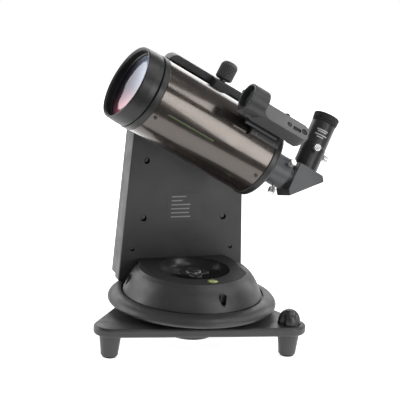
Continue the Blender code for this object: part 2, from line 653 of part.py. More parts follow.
def build_rear():
    spigot = TUBE_RADIUS - TUBE_WALL - GAP
    lip = TUBE_BACK - GAP
    bore = 0.0145
    inside = REAR_FACE + 0.0035
    rear = turned("rear_cell", [(0.0465, REAR_SPIGOT_END), (spigot, REAR_SPIGOT_END), (spigot, lip),
                                (0.0520, lip), (0.0520, -0.0835), (0.0512, -0.0858), (0.0490, -0.0874),
                                (0.0300, REAR_FACE), (bore, REAR_FACE), (bore, inside),
                                (0.0440, inside + 0.0016), (0.0465, -0.0820)],
                  "satin_black", TUBE_FRAME, ROUND)
    focus_axis = TUBE_FRAME @ Matrix.Translation((0.004, 0.033, 0))
    drill(rear, FOCUS_SHAFT_RADIUS + GAP, -0.12, -0.08, focus_axis)
    baffle_foot = inside + GAP
    turned("primary_baffle", [(0.0128, baffle_foot), (0.0140, baffle_foot), (0.0140, 0.0100),
                              (0.0128, 0.0100)], "satin_black", TUBE_FRAME, 24)
    turned("mirror_carrier", [(0.0143, -0.0770), (0.0300, -0.0770), (0.0300, -0.0745), (0.0190, -0.0730),
                              (0.0190, -0.0485), (0.0143, -0.0485)], "satin_black", TUBE_FRAME, MEDIUM)
    rim = 0.0445
    hole = 0.0193
    front = -0.0625
    profile = [(hole, -0.0720), (rim, -0.0720), (rim, front)]
    steps = 4
    for i in range(1, steps + 1):
        radius = rim + (hole - rim) * i / steps
        profile.append((radius, front - 0.0042 * (1 - (radius / rim) ** 2)))
    turned("primary_mirror", profile, "mirror", TUBE_FRAME, MEDIUM)
    near = -0.0930
    far = near - FOCUS_KNOB_LENGTH
    rounding = 0.0010
    turned("focus_knob", [(0, -0.0810), (FOCUS_SHAFT_RADIUS, -0.0810), (FOCUS_SHAFT_RADIUS, near),
                          (FOCUS_KNOB_RADIUS - rounding, near), (FOCUS_KNOB_RADIUS, near - rounding),
                          (FOCUS_KNOB_RADIUS, far + rounding), (FOCUS_KNOB_RADIUS - rounding, far),
                          (0, far)], "black_plastic", focus_axis, 24)
    back = turned("visual_back", [(0.0160, REAR_FACE - GAP), (0.0222, REAR_FACE - GAP),
                                  (0.0222, REAR_FACE - 0.0040), (VISUAL_BACK_RADIUS, REAR_FACE - 0.0050),
                                  (VISUAL_BACK_RADIUS, VISUAL_BACK_END + 0.0008),
                                  (VISUAL_BACK_RADIUS - 0.0008, VISUAL_BACK_END), (0.0160, VISUAL_BACK_END)],
                  "satin_black", TUBE_FRAME, FINE)
    for name, angle in (("a", radians(-50)), ("b", radians(-155))):
        frame = radial_frame(TUBE_FRAME, angle, BACK_SCREW_U)
        drill(back, SCREW_HOLE_RADIUS, 0.012, 0.03, frame)
        thumbscrew(f"back_screw_{name}", frame, BARREL_RADIUS + GAP, VISUAL_BACK_RADIUS)


def radial_frame(parent, angle, along):
    """Frame whose Z points outwards from the parent's Z axis, at this angle from its X."""
    return (parent @ Matrix.Translation((0, 0, along)) @ Matrix.Rotation(angle, 4, "Z")
            @ Matrix.Rotation(pi / 2, 4, "Y"))


def thumbscrew(name, frame, tip, wall):
    """Knurled head on a shank whose end touches the barrel it clamps."""
    head = wall + 0.0036
    end = head + 0.0082
    rounding = 0.0006
    shank = SCREW_HOLE_RADIUS - GAP
    turned(name, [(0, tip), (shank, tip), (shank, head), (THUMB_RADIUS - rounding, head),
                  (THUMB_RADIUS, head + rounding), (THUMB_RADIUS, end - rounding),
                  (THUMB_RADIUS - rounding, end), (0, end)], "steel", frame, COARSE)


# ---------------------------------------------------------------- finder

def finder_axes():
    """Axes of the dial on top, and of the front and side adjusting screws on the far side."""
    dial = FINDER_FRAME @ Matrix.Translation((0, 0.001, DIAL_U)) @ Matrix.Rotation(pi / 2, 4, "Y")
    front = FINDER_FRAME @ Matrix.Translation((0.0725, 0, -0.0030)) @ Matrix.Rotation(-pi / 2, 4, "X")
    side = FINDER_FRAME @ Matrix.Translation((0.0790, 0, -0.0665)) @ Matrix.Rotation(-pi / 2, 4, "X")
    return dial, front, side


def build_finder():
    """Bracket on the tube, and the sight: an arm with a short round hood at its front."""
    gap_radius = TUBE_RADIUS + GAP
    spread = radians(21)
    section = (arc((0, 0), gap_radius, spread, -spread, 6)
               + [(gap_radius + 0.0030, -0.0195), (0.0575, -0.0130), (0.0575, 0.0130),
                  (gap_radius + 0.0030, 0.0195)])
    prism("finder_bracket", section, -0.0758, -0.0310, "black_plastic", frame=FINDER_FRAME)
    build_finder_body()
    window = FINDER_FRAME @ Matrix.Translation((FINDER_HOOD_CENTRE, 0, 0))
    rim = FINDER_BORE_RADIUS - GAP
    turned("finder_window", [(0, -0.0060), (rim, -0.0060), (rim, -0.0045), (0, -0.0045)],
           "clear_glass", window, 24)
    dial, front, side = finder_axes()
    sunk = FINDER_TOP - 0.0030
    top = FINDER_TOP + 0.0006
    turned("finder_dial", [(0, sunk), (DIAL_RADIUS, sunk), (DIAL_RADIUS, top - 0.0006),
                           (DIAL_RADIUS - 0.0006, top), (0, top)], "grey_plastic", dial, COARSE)
    build_adjuster("finder_adjuster_front", front, 0.0080, 0.0165, 0.0050)
    build_adjuster("finder_adjuster_side", side, 0.0050, 0.0132, 0.0034)


def build_adjuster(name, axis, tip, head, length):
    """Small round screw head on a shank that ends inside the sight's body."""
    shank = ADJUSTER_HOLE_RADIUS - GAP
    radius = 0.0042
    turned(name, [(0, tip), (shank, tip), (shank, head), (radius, head), (radius, head + length),
                  (0, head + length)], "black_plastic", axis, COARSE)


def build_finder_body():
    """One moulding: base rail, arm, front block and hood, bored from end to end at the hood."""
    arm_side = rounded([(FINDER_LOW, -0.0190), (FINDER_LOW, -0.0770), (FINDER_LOW - 0.0013, -0.0800),
                        (FINDER_LOW - 0.0013, -0.0920), (0.0740, -0.1000), (FINDER_TOP, -0.1000),
                        (FINDER_TOP, -0.0190)], [0, 0.002, 0.001, 0.002, 0.002, 0.002, 0], 2)
    body = prism("finder_body", arm_side, -FINDER_HALF_WIDTH, FINDER_HALF_WIDTH, "black_plastic", "XZ",
                 FINDER_FRAME)
    neck = prism("finder_neck", box_outline(0.0035, 0.0085, (0.0645, 0)), -0.0640, -0.0200, None,
                 frame=FINDER_FRAME)
    boolean(body, "UNION", neck)
    rail = prism("finder_rail", box_outline(0.0020, 0.0145, (0.0608, 0)), -0.0670, -0.0170, None,
                 frame=FINDER_FRAME)
    boolean(body, "UNION", rail)
    block_low = FINDER_LOW + 0.0010
    hood_outline = (arc((FINDER_HOOD_CENTRE, 0), FINDER_HOOD_RADIUS, radians(125), radians(-125), 18)
                    + [(block_low, -0.0125), (block_low, 0.0125)])
    hood = prism("finder_hood", hood_outline, FINDER_HOOD_BACK, FINDER_HOOD_FRONT, None,
                 frame=FINDER_FRAME)
    boolean(body, "UNION", hood)
    axis = FINDER_FRAME @ Matrix.Translation((FINDER_HOOD_CENTRE, 0, 0))
    drill(body, FINDER_BORE_RADIUS, -0.04, 0.02, axis, 24)
    dial, front, side = finder_axes()
    drill(body, DIAL_RADIUS + GAP, FINDER_TOP - 0.0033, 0.09, dial)
    drill(body, ADJUSTER_HOLE_RADIUS, 0.0077, 0.02, front, 8)
    drill(body, ADJUSTER_HOLE_RADIUS, 0.0047, 0.02, side, 8)


# ---------------------------------------------------------------- diagonal and eyepiece

def build_diagonal():
    turned("diagonal_nose", [(0.0132, 0.0190), (BARREL_RADIUS, 0.0190), (BARREL_RADIUS, 0.0470),
                             (0.0132, 0.0470)], "satin_black", DIAGONAL_FRAME, MEDIUM)
    side = [(0.0203, 0.0170), (-0.0188, 0.0178), (-0.0262, 0.0121), (0.0135, -0.0265), (0.0203, -0.0210)]
    body = prism("diagonal_body", side, -0.0175, 0.0175, "black_plastic", "XZ", DIAGONAL_FRAME)
    bevel(body, 0.0008, 1)
    root = 0.0170
    holder = turned("holder_tube", [(0, root), (HOLDER_RADIUS, root), (HOLDER_RADIUS, HOLDER_END),
                                    (0, HOLDER_END)], None, EYEPIECE_FRAME, FINE)
    boolean(body, "UNION", holder)
    collar = turned("nose_collar", [(0, 0.0080), (0.0172, 0.0080), (0.0172, 0.0187), (0, 0.0187)], None,
                    DIAGONAL_FRAME, FINE)
    boolean(body, "UNION", collar)
    inside = [(0.0180, 0.0145), (-0.0110, 0.0120), (-0.0130, 0.0056), (0.0125, -0.0177), (0.0180, -0.0140)]
    cavity = prism("diagonal_cavity", inside, -0.0135, 0.0135, None, "XZ", DIAGONAL_FRAME)
    boolean(body, "DIFFERENCE", cavity)
    drill(body, BARREL_RADIUS + GAP, 0.0080, 0.06, EYEPIECE_FRAME, MEDIUM)
    drill(body, 0.0130, 0.0050, 0.03, DIAGONAL_FRAME, 24)
    slope = radians(42.5)
    mirror = DIAGONAL_FRAME @ Matrix.Translation((0.0005, 0, -0.0067)) @ Matrix.Rotation(slope, 4, "Y")
    prism("diagonal_mirror", box_outline(0.0150, 0.0125), GAP, GAP + 0.0015, "mirror", frame=mirror)
    for name, angle in (("a", radians(-73)), ("b", radians(167))):
        frame = eyepiece_radial_frame(angle, HOLDER_SCREW_HEIGHT)
        drill(body, SCREW_HOLE_RADIUS, 0.012, 0.03, frame)
        thumbscrew(f"holder_screw_{name}", frame, BARREL_RADIUS + GAP, HOLDER_RADIUS)


def eyepiece_radial_frame(angle, along):
    """As radial_frame, about the eyepiece's axis, with the angle counted from the sky end."""
    return radial_frame(EYEPIECE_FRAME, pi - angle, along)


def build_eyepiece():
    seat = HOLDER_END + GAP
    turned("eyepiece_body", [(0.0120, 0.0270), (BARREL_RADIUS, 0.0270), (BARREL_RADIUS, seat),
                             (EYEPIECE_RADIUS, seat), (EYEPIECE_RADIUS, 0.0862), (0.0150, 0.0866),
                             (0.0150, 0.0900), (0.0105, 0.0900), (0.0105, 0.0862), (0.0120, 0.0840)],
           "black_plastic", EYEPIECE_FRAME, FINE)
    turned("eyecup", [(0.0153, 0.0869), (0.0168, 0.0869), (0.0172, 0.0900), (0.0176, 0.0975),
                      (0.0168, 0.0982), (0.0120, 0.0950), (0.0120, 0.0904), (0.0153, 0.0903)],
           "rubber", EYEPIECE_FRAME, FINE)
    turned("eye_lens", [(0, 0.0850), (0.0100, 0.0862), (0.0100, 0.0885), (0, 0.0896)], "clear_glass",
           EYEPIECE_FRAME, 24)


def build_dovetail():
    """Bar bolted to the tube's side, with the flanks that the saddle grips."""
    inner = TUBE_RADIUS + GAP
    back = SADDLE_BACK_Y - TUBE_Y - SADDLE_FLOOR - GAP
    narrow = DOVETAIL_HALF_WIDTH - 0.0040
    front = SADDLE_FRONT_Y - TUBE_Y
    side = [(-narrow, inner), (narrow, inner), (narrow, front + 0.001), (DOVETAIL_HALF_WIDTH, front + 0.006),
            (DOVETAIL_HALF_WIDTH, back), (-DOVETAIL_HALF_WIDTH, back), (-DOVETAIL_HALF_WIDTH, front + 0.006),
            (-narrow, front + 0.001)]
    prism("dovetail_bar", side, -0.060, 0.060, "black_plastic", frame=TUBE_FRAME)


def build_model():
    clear_scene()
    build_base()
    build_feet()
    for side in ADJUSTABLE:
        build_levelling_knob(side)
    build_turntable_disc()
    build_housing()
    build_top_panel()
    build_star_knob()
    build_drives()
    build_arm()
    build_altitude()
    build_clamp()
    build_dovetail()
    build_tube()
    build_rear()
    build_finder()
    build_diagonal()
    build_eyepiece()
    bpy.context.view_layer.update()


build_model()
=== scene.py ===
"""Looks for the Maksutov telescope on its single-arm mount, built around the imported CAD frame."""

import json
from math import atan2, cos, pi, radians, sin, tan

import bmesh
import bpy
from mathutils import Matrix, Vector


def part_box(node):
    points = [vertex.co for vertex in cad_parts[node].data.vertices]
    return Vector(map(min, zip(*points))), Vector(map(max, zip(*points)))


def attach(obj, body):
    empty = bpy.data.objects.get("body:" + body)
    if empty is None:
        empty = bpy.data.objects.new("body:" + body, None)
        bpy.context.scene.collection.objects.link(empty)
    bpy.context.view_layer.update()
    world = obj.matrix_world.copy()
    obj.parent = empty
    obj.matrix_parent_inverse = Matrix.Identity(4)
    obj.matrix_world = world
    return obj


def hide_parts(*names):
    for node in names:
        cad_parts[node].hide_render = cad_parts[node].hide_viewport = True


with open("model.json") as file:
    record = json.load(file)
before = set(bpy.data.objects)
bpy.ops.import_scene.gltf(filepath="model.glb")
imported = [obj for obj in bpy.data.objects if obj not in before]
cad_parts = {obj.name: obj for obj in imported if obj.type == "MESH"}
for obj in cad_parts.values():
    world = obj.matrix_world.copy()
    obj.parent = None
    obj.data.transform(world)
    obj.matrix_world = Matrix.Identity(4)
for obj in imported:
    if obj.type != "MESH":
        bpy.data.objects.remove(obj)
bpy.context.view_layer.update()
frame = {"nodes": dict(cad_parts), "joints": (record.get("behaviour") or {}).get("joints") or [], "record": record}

EPS = 1e-7
UP = Vector((0, 0, 1))
JOINTS = {joint["name"]: joint for joint in frame["joints"]}


# ---------------------------------------------------------------- frames

shift = Matrix.Translation


def spin(angle, axis):
    return Matrix.Rotation(angle, 4, axis)


def placed(origin, z_axis, x_hint=(1, 0, 0)):
    """Matrix with Z along z_axis and X as near to x_hint as it can be."""
    z = Vector(z_axis).normalized()
    x = Vector(x_hint)
    x = (x - z * x.dot(z)).normalized()
    return shift(origin) @ Matrix((x, z.cross(x), z)).transposed().to_4x4()


def joint_pos(name):
    return Vector(JOINTS[name]["pos_m"])


def joint_axis(name):
    return Vector(JOINTS[name]["axis"])


WORLD = Matrix.Identity(4)
TUBE_AXIS = joint_axis("diagonal_turn")
CROSSING = joint_pos("diagonal_turn")
TUBE_ORIGIN = CROSSING - TUBE_AXIS * (CROSSING.x / TUBE_AXIS.x)
TUBE = placed(TUBE_ORIGIN, TUBE_AXIS, UP)
FINDER = placed(TUBE_ORIGIN, TUBE_AXIS, joint_axis("finder_dial_turn"))
DIAGONAL = placed(CROSSING, TUBE_AXIS, joint_axis("eyepiece_slide"))
EYEPIECE = placed(CROSSING, joint_axis("eyepiece_slide"), -TUBE_AXIS)
CLAMP_HEIGHT = 0.064
CLAMP = placed(joint_pos("clamp_turn") - joint_axis("clamp_turn") * CLAMP_HEIGHT, joint_axis("clamp_turn"),
               TUBE_AXIS)
SADDLE_FRONT = 0.0320 - TUBE_ORIGIN.y
SADDLE_BACK = 0.0500 - TUBE_ORIGIN.y
ALTITUDE_Z = joint_pos("altitude").z


def joint_frame(name):
    """Frame on a joint's axis, with X as near to the tube's axis as it can be."""
    return placed(joint_pos(name), joint_axis(name), TUBE_AXIS)


def box_centre(node):
    low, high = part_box(node)
    return (low + high) / 2


FEET = {side: Vector((*box_centre(f"{side}_foot_pad").xy, 0.0)) for side in ("left", "right", "rear")}
FLOOR_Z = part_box("left_foot_pad")[0].z
PLATE_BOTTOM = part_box("base_plate")[0].z
PLATE_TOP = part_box("base_plate")[1].z
KNOB_SUNK = 0.0022
KNOB_RADIUS = 0.0146
ARM_FACE_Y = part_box("arm_front_shell")[0].y
SHELL_BACK_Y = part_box("arm_front_shell")[1].y
COVER_FRONT_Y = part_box("arm_rear_cover")[0].y
COVER_BACK_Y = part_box("arm_rear_cover")[1].y
ARM_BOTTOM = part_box("arm_front_shell")[0].z
ARM_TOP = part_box("arm_front_shell")[1].z


# ---------------------------------------------------------------- flat lines

def arc(centre, radius, start, end, steps):
    turn = [start + (end - start) * i / steps for i in range(steps + 1)]
    return [(centre[0] + radius * cos(a), centre[1] + radius * sin(a)) for a in turn]


def soften(line, radius, steps=4, closed=False):
    """Round a line's corners; a point's third value, if any, is its own radius."""
    result = []
    for i, corner in enumerate(line):
        here = Vector(corner[:2])
        before = Vector(line[i - 1][:2]) - here
        after = Vector(line[(i + 1) % len(line)][:2]) - here
        wanted = corner[2] if len(corner) > 2 else radius
        end = not closed and i in (0, len(line) - 1)
        if end or wanted < EPS or before.angle(after) > radians(177):
            result.append(here)
            continue
        reach = min(wanted / tan(before.angle(after) / 2), 0.48 * before.length, 0.48 * after.length)
        first = here + before.normalized() * reach
        last = here + after.normalized() * reach
        for k in range(steps + 1):
            s = k / steps
            result.append(first * (1 - s) ** 2 + here * 2 * s * (1 - s) + last * s ** 2)
    return [tuple(point) for point in result]


def box_line(half_a, half_b, centre=(0.0, 0.0)):
    a, b = centre
    return [(a - half_a, b - half_b), (a + half_a, b - half_b),
            (a + half_a, b + half_b), (a - half_a, b + half_b)]


def lobed_line(radius, depth, lobes, steps):
    count = lobes * steps
    line = []
    for i in range(count):
        angle = 2 * pi * i / count
        reach = radius - depth * (0.5 - 0.5 * cos(lobes * angle))
        line.append((reach * cos(angle), reach * sin(angle)))
    return line


# ---------------------------------------------------------------- solids

def lathe(line, segments=64, shape=None, closed=False):
    """Body of revolution about Z; shape changes the radius with the angle and the height."""
    bm = bmesh.new()
    rings = []
    for radius, height in line:
        if radius < EPS:
            rings.append([bm.verts.new((0, 0, height))])
            continue
        ring = []
        for i in range(segments):
            angle = 2 * pi * i / segments
            reach = shape(radius, angle, height) if shape else radius
            ring.append(bm.verts.new((reach * cos(angle), reach * sin(angle), height)))
        rings.append(ring)
    following = rings[1:] + (rings[:1] if closed else [])
    for ring, other in zip(rings, following):
        for i in range(segments):
            j = (i + 1) % segments
            corners = (ring[i % len(ring)], ring[j % len(ring)],
                       other[j % len(other)], other[i % len(other)])
            bm.faces.new(list(dict.fromkeys(corners)))
    return bm


PLANES = {"XY": lambda a, b, c: (a, b, c), "XZ": lambda a, b, c: (a, c, b), "YZ": lambda a, b, c: (c, a, b)}


def prism(line, low, high, plane="XY"):
    bm = bmesh.new()
    lower = [bm.verts.new(PLANES[plane](a, b, low)) for a, b in line]
    upper = [bm.verts.new(PLANES[plane](a, b, high)) for a, b in line]
    bm.faces.new(lower)
    bm.faces.new(upper)
    for i in range(len(line)):
        j = (i + 1) % len(line)
        bm.faces.new((lower[i], lower[j], upper[j], upper[i]))
    return bm


def cylinder(radius, low, high, segments=48):
    return lathe([(0, low), (radius, low), (radius, high), (0, high)], segments)


def patch(radius, thickness, start, end, low, high, steps=24):
    """Thin curved plate that lies on a cylinder about Z."""
    line = arc((0, 0), radius, start, end, steps) + arc((0, 0), radius + thickness, end, start, steps)
    return prism(line, low, high)


def joined(*parts):
    """One bmesh from several, each with the matrix that places it."""
    whole = bmesh.new()
    for part, place in parts:
        part.transform(place)
        mesh = bpy.data.meshes.new("part")
        part.to_mesh(mesh)
        part.free()
        whole.from_mesh(mesh)
        bpy.data.meshes.remove(mesh)
    return whole


def raw(bm, place, name="tool"):
    """A plain object from a bmesh, before it gets its finish."""
    bmesh.ops.recalc_face_normals(bm, faces=bm.faces)
    mesh = bpy.data.meshes.new(name)
    bm.to_mesh(mesh)
    bm.free()
    thing = bpy.data.objects.new(name, mesh)
    thing.matrix_world = place
    bpy.context.scene.collection.objects.link(thing)
    return thing


def settle(piece, tools):
    """Apply the piece's modifiers and remove the tools that they used."""
    bpy.context.view_layer.update()
    graph = bpy.context.evaluated_depsgraph_get()
    mesh = bpy.data.meshes.new_from_object(piece.evaluated_get(graph))
    piece.modifiers.clear()
    old = piece.data
    piece.data = mesh
    bpy.data.meshes.remove(old)
    for tool in tools:
        data = tool.data
        bpy.data.objects.remove(tool)
        bpy.data.meshes.remove(data)


def make(name, bm, place, finish, body, replaced=(), edge=0.0, steps=3, cuts=(), keeps=(), crease=40):
    """A finished piece: bevelled first, then cut, shaded, painted and set to ride on its body."""
    piece = raw(bm, place, name)
    if edge:
        rim = piece.modifiers.new("rim", "BEVEL")
        rim.width = edge
        rim.segments = steps
        rim.limit_method = "ANGLE"
        rim.angle_limit = radians(30)
    tools = []
    for operation, group in (("DIFFERENCE", cuts), ("INTERSECT", keeps)):
        for shape, where in group:
            tool = raw(shape, where)
            tools.append(tool)
            change = piece.modifiers.new(operation.lower(), "BOOLEAN")
            change.operation = operation
            change.solver = "EXACT"
            change.object = tool
    if edge or tools:
        settle(piece, tools)
    piece.data.name = name
    piece.data.materials.clear()
    piece.data.materials.append(finish)
    piece.data.shade_smooth()
    piece.data.set_sharp_from_angle(angle=radians(crease))
    even = piece.modifiers.new("even_normals", "WEIGHTED_NORMAL")
    even.keep_sharp = True
    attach(piece, body)
    if replaced:
        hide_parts(*replaced)
    return piece


# ---------------------------------------------------------------- finishes

class Finish:
    """A Principled material whose grain, mottling and wear come from noise in object coordinates."""

    def __init__(self, name, colour, roughness, metallic=0.0, **sockets):
        self.material = bpy.data.materials.new(name)
        self.material.use_nodes = True
        self.nodes = self.material.node_tree.nodes
        self.links = self.material.node_tree.links
        self.shader = self.nodes["Principled BSDF"]
        self.colour = (*colour, 1.0)
        self.shader.inputs["Base Color"].default_value = self.colour
        self.shader.inputs["Roughness"].default_value = roughness
        self.shader.inputs["Metallic"].default_value = metallic
        for socket, value in sockets.items():
            self.shader.inputs[socket.replace("_", " ")].default_value = value
        self.where = self.nodes.new("ShaderNodeTexCoord").outputs["Object"]
        self.height = None

    def stretched(self, scale):
        mapping = self.nodes.new("ShaderNodeMapping")
        mapping.inputs["Scale"].default_value = scale
        self.links.new(self.where, mapping.inputs["Vector"])
        return mapping.outputs["Vector"]

    def noise(self, scale, detail=2.0, stretch=None):
        noise = self.nodes.new("ShaderNodeTexNoise")
        noise.inputs["Scale"].default_value = scale
        noise.inputs["Detail"].default_value = detail
        source = self.stretched(stretch) if stretch else self.where
        self.links.new(source, noise.inputs["Vector"])
        return noise.outputs["Fac"]

    def cells(self, scale, feature="F1"):
        cells = self.nodes.new("ShaderNodeTexVoronoi")
        cells.feature = feature
        cells.inputs["Scale"].default_value = scale
        self.links.new(self.where, cells.inputs["Vector"])
        return cells.outputs["Distance"]

    def ranged(self, value, low, high, to_low, to_high):
        change = self.nodes.new("ShaderNodeMapRange")
        numbers = (("From Min", low), ("From Max", high), ("To Min", to_low), ("To Max", to_high))
        for socket, number in numbers:
            change.inputs[socket].default_value = number
        self.links.new(value, change.inputs["Value"])
        return change.outputs["Result"]

    def roughened(self, value, low, high):
        self.links.new(self.ranged(value, 0.3, 0.7, low, high), self.shader.inputs["Roughness"])

    def tinted(self, value, other, low=0.35, high=0.65):
        """Blend the base colour towards another colour where value is high."""
        mix = self.nodes.new("ShaderNodeMix")
        mix.data_type = "RGBA"
        source = self.shader.inputs["Base Color"]
        if source.is_linked:
            self.links.new(source.links[0].from_socket, mix.inputs["A"])
        else:
            mix.inputs["A"].default_value = self.colour
        mix.inputs["B"].default_value = (*other, 1.0)
        self.links.new(self.ranged(value, low, high, 0.0, 1.0), mix.inputs["Factor"])
        self.links.new(mix.outputs["Result"], source)

    def bumped(self, value, distance, strength=1.0):
        bump = self.nodes.new("ShaderNodeBump")
        bump.inputs["Distance"].default_value = distance
        bump.inputs["Strength"].default_value = strength
        self.links.new(value, bump.inputs["Height"])
        if self.height:
            self.links.new(self.height, bump.inputs["Normal"])
        self.height = bump.outputs["Normal"]
        self.links.new(self.height, self.shader.inputs["Normal"])


def grained_plastic(name, colour, roughness, grain, depth):
    """Moulded ABS with a fine spark-eroded grain and slight flow marks."""
    look = Finish(name, colour, roughness)
    lighter = tuple(channel * 1.5 + 0.004 for channel in colour)
    look.tinted(look.noise(18, 3), lighter, 0.4, 0.9)
    look.roughened(look.noise(60, 4), roughness - 0.07, roughness + 0.07)
    look.bumped(look.noise(grain, 3), depth)
    look.bumped(look.noise(35, 2), 0.00012)
    return look.material


def turned_metal(name, colour, roughness, metallic, pitch=2200.0, **sockets):
    """Machined metal: fine tool marks across the turning axis and a little handling haze."""
    look = Finish(name, colour, roughness, metallic, **sockets)
    look.roughened(look.noise(45, 4), roughness - 0.06, roughness + 0.08)
    look.bumped(look.noise(1.0, 2, (60.0, 60.0, pitch)), 0.00002)
    lighter = tuple(min(1.0, channel * 1.35 + 0.004) for channel in colour)
    look.tinted(look.noise(30, 3), lighter, 0.45, 0.85)
    return look.material


def bronze_paint():
    """Dark bronze metallic paint under lacquer, with fine bright flakes."""
    look = Finish("bronze_paint", (0.104, 0.089, 0.079), 0.20, 0.85, Coat_Weight=0.7, Coat_Roughness=0.06)
    look.tinted(look.cells(1500), (0.30, 0.26, 0.23), 0.16, 0.05)
    look.tinted(look.noise(900, 3), (0.060, 0.045, 0.036), 0.52, 0.70)
    look.roughened(look.noise(40, 3), 0.17, 0.24)
    look.bumped(look.cells(1300), 0.000012)
    return look.material


def coated_glass():
    """Multi-coated corrector with a painted reflection: its colour is painted from blue-grey at the top through
    dark blue to pink at the bottom, darker towards one side, with a painted pale highlight at the edge of the
    other side.
    """
    look = Finish("coated_glass", (0.26, 0.30, 0.42), 0.06, 0.35, Coat_Weight=1.0, Coat_Roughness=0.02)
    split = look.nodes.new("ShaderNodeSeparateXYZ")
    look.links.new(look.where, split.inputs["Vector"])
    height = split.outputs["X"]
    side = split.outputs["Y"]
    # Painted reflection: the coating's reflected colours are painted into the base colour by position on the lens.
    look.tinted(look.ranged(height, 0.020, -0.010, 0.0, 1.0), (0.085, 0.075, 0.150), 0.0, 1.0)
    look.tinted(look.ranged(height, -0.002, -0.036, 0.0, 1.0), (0.60, 0.21, 0.28), 0.0, 1.0)
    look.tinted(look.ranged(side, 0.010, 0.042, 0.0, 1.0), (0.045, 0.040, 0.060), 0.0, 1.0)
    # Painted highlight: a pale patch at one edge of the lens stands for the reflection of a softbox.
    painted_glint = look.nodes.new("ShaderNodeMath")
    painted_glint.operation = "MULTIPLY"
    look.links.new(look.ranged(side, -0.022, -0.034, 0.0, 1.0), painted_glint.inputs[0])
    look.links.new(look.ranged(height, -0.022, -0.010, 0.0, 1.0), painted_glint.inputs[1])
    look.tinted(painted_glint.outputs["Value"], (0.86, 0.87, 0.92), 0.0, 1.0)
    look.roughened(look.noise(25, 3), 0.05, 0.08)
    return look.material


def clear_glass(name, colour, alpha):
    look = Finish(name, colour, 0.04, 0.0, Coat_Weight=1.0, Alpha=alpha)
    look.roughened(look.noise(60, 3), 0.02, 0.07)
    return look.material


def rubber():
    look = Finish("rubber", (0.012, 0.012, 0.012), 0.78)
    look.tinted(look.noise(160, 4), (0.035, 0.034, 0.033), 0.45, 0.75)
    look.bumped(look.noise(1400, 3), 0.00006)
    return look.material


def speckled_print(name, colour):
    """Thin screen-printed ink."""
    look = Finish(name, colour, 0.5)
    darker = tuple(channel * 0.7 for channel in colour)
    look.tinted(look.noise(900, 3), darker, 0.4, 0.8)
    look.bumped(look.noise(1500, 2), 0.00001)
    return look.material


def simple_metal(name, colour, roughness):
    look = Finish(name, colour, roughness, 1.0)
    look.roughened(look.noise(120, 4), roughness - 0.04, roughness + 0.06)
    look.bumped(look.noise(900, 2), 0.000008)
    return look.material


BLACK = grained_plastic("black_plastic", (0.036, 0.036, 0.037), 0.40, 1100, 0.00004)
SMOOTH_BLACK = grained_plastic("smooth_black_plastic", (0.026, 0.026, 0.027), 0.32, 1600, 0.00001)
# Deeper black than the other plastics; in the screw wells of the arm and the housing it is painted shade in the
# recesses.
DEEP_BLACK_AND_PAINTED_SHADE = grained_plastic("deep_black_plastic_and_painted_shade", (0.008, 0.008, 0.008), 0.6, 1600, 0.00001)
ROUGH_BLACK = grained_plastic("textured_inlay", (0.018, 0.018, 0.019), 0.62, 700, 0.00012)
PALE_GREY = grained_plastic("pale_grey_plastic", (0.13, 0.13, 0.132), 0.5, 900, 0.00006)
GREY = grained_plastic("grey_plastic", (0.075, 0.075, 0.077), 0.50, 1300, 0.00003)
SATIN = turned_metal("satin_black", (0.021, 0.021, 0.021), 0.34, 0.10)
SATIN_GREY = turned_metal("satin_grey", (0.085, 0.087, 0.092), 0.42, 0.35)
CHROME = turned_metal("steel", (0.80, 0.80, 0.81), 0.24, 0.85)
DARK_STEEL = simple_metal("blackened_steel", (0.10, 0.10, 0.10), 0.30)
BRONZE = bronze_paint()
LENS = coated_glass()
WINDOW = clear_glass("clear_glass", (0.50, 0.56, 0.58), 0.30)
EYE_LENS = clear_glass("eye_glass", (0.05, 0.05, 0.09), 0.85)
RUBBER = rubber()
MIRROR = simple_metal("mirror", (0.90, 0.90, 0.92), 0.05)
BRASS = simple_metal("brass", (0.70, 0.52, 0.24), 0.28)
FLUID = clear_glass("level_fluid", (0.62, 0.68, 0.30), 1.0)
PALE_INK = speckled_print("pale_ink", (0.55, 0.56, 0.55))
DIM_INK = speckled_print("dim_ink", (0.30, 0.30, 0.30))
GREEN_INK = speckled_print("green_ink", (0.12, 0.24, 0.03))
LABEL = speckled_print("label_film", (0.060, 0.060, 0.060))
CAD_FINISHES = {
    "steel": CHROME, "brass": BRASS, "satin_black": SATIN, "mirror": MIRROR, "black_plastic": BLACK,
    "coated_glass": LENS, "clear_glass": WINDOW, "rubber": RUBBER, "grey_plastic": GREY,
    "bronze_paint": BRONZE, "level_fluid": FLUID,
}


# ---------------------------------------------------------------- fasteners

def cross_cuts(place, radius, depth, front):
    """Cutters for a cross recess whose mouth lies at height front."""
    wide = radius * 0.62
    thin = radius * 0.14
    return [(prism(box_line(a, b), front - depth, front + depth), place)
            for a, b in ((wide, thin), (thin, wide))]


def pan_screw(name, place, radius, height, body, replaced=(), shank=0.0):
    """Cross-recessed screw head with Z outwards and its seat at Z = 0."""
    line = [(0, -shank), (radius * 0.5, -shank), (radius * 0.5, -0.0003), (radius, 0.0),
            (radius, height * 0.45),
            (radius * 0.86, height * 0.82), (radius * 0.55, height * 0.97), (0, height)]
    make(name, lathe(soften(line, 0.0003), 40), place, DARK_STEEL, body, replaced,
         cuts=cross_cuts(place, radius, height * 0.7, height))


def knurl(teeth, depth):
    """Straight knurling, as a change of radius."""
    def shape(radius, angle, height):
        wave = abs(((angle * teeth / (2 * pi)) % 1.0) * 2 - 1)
        return radius - depth * wave
    return shape


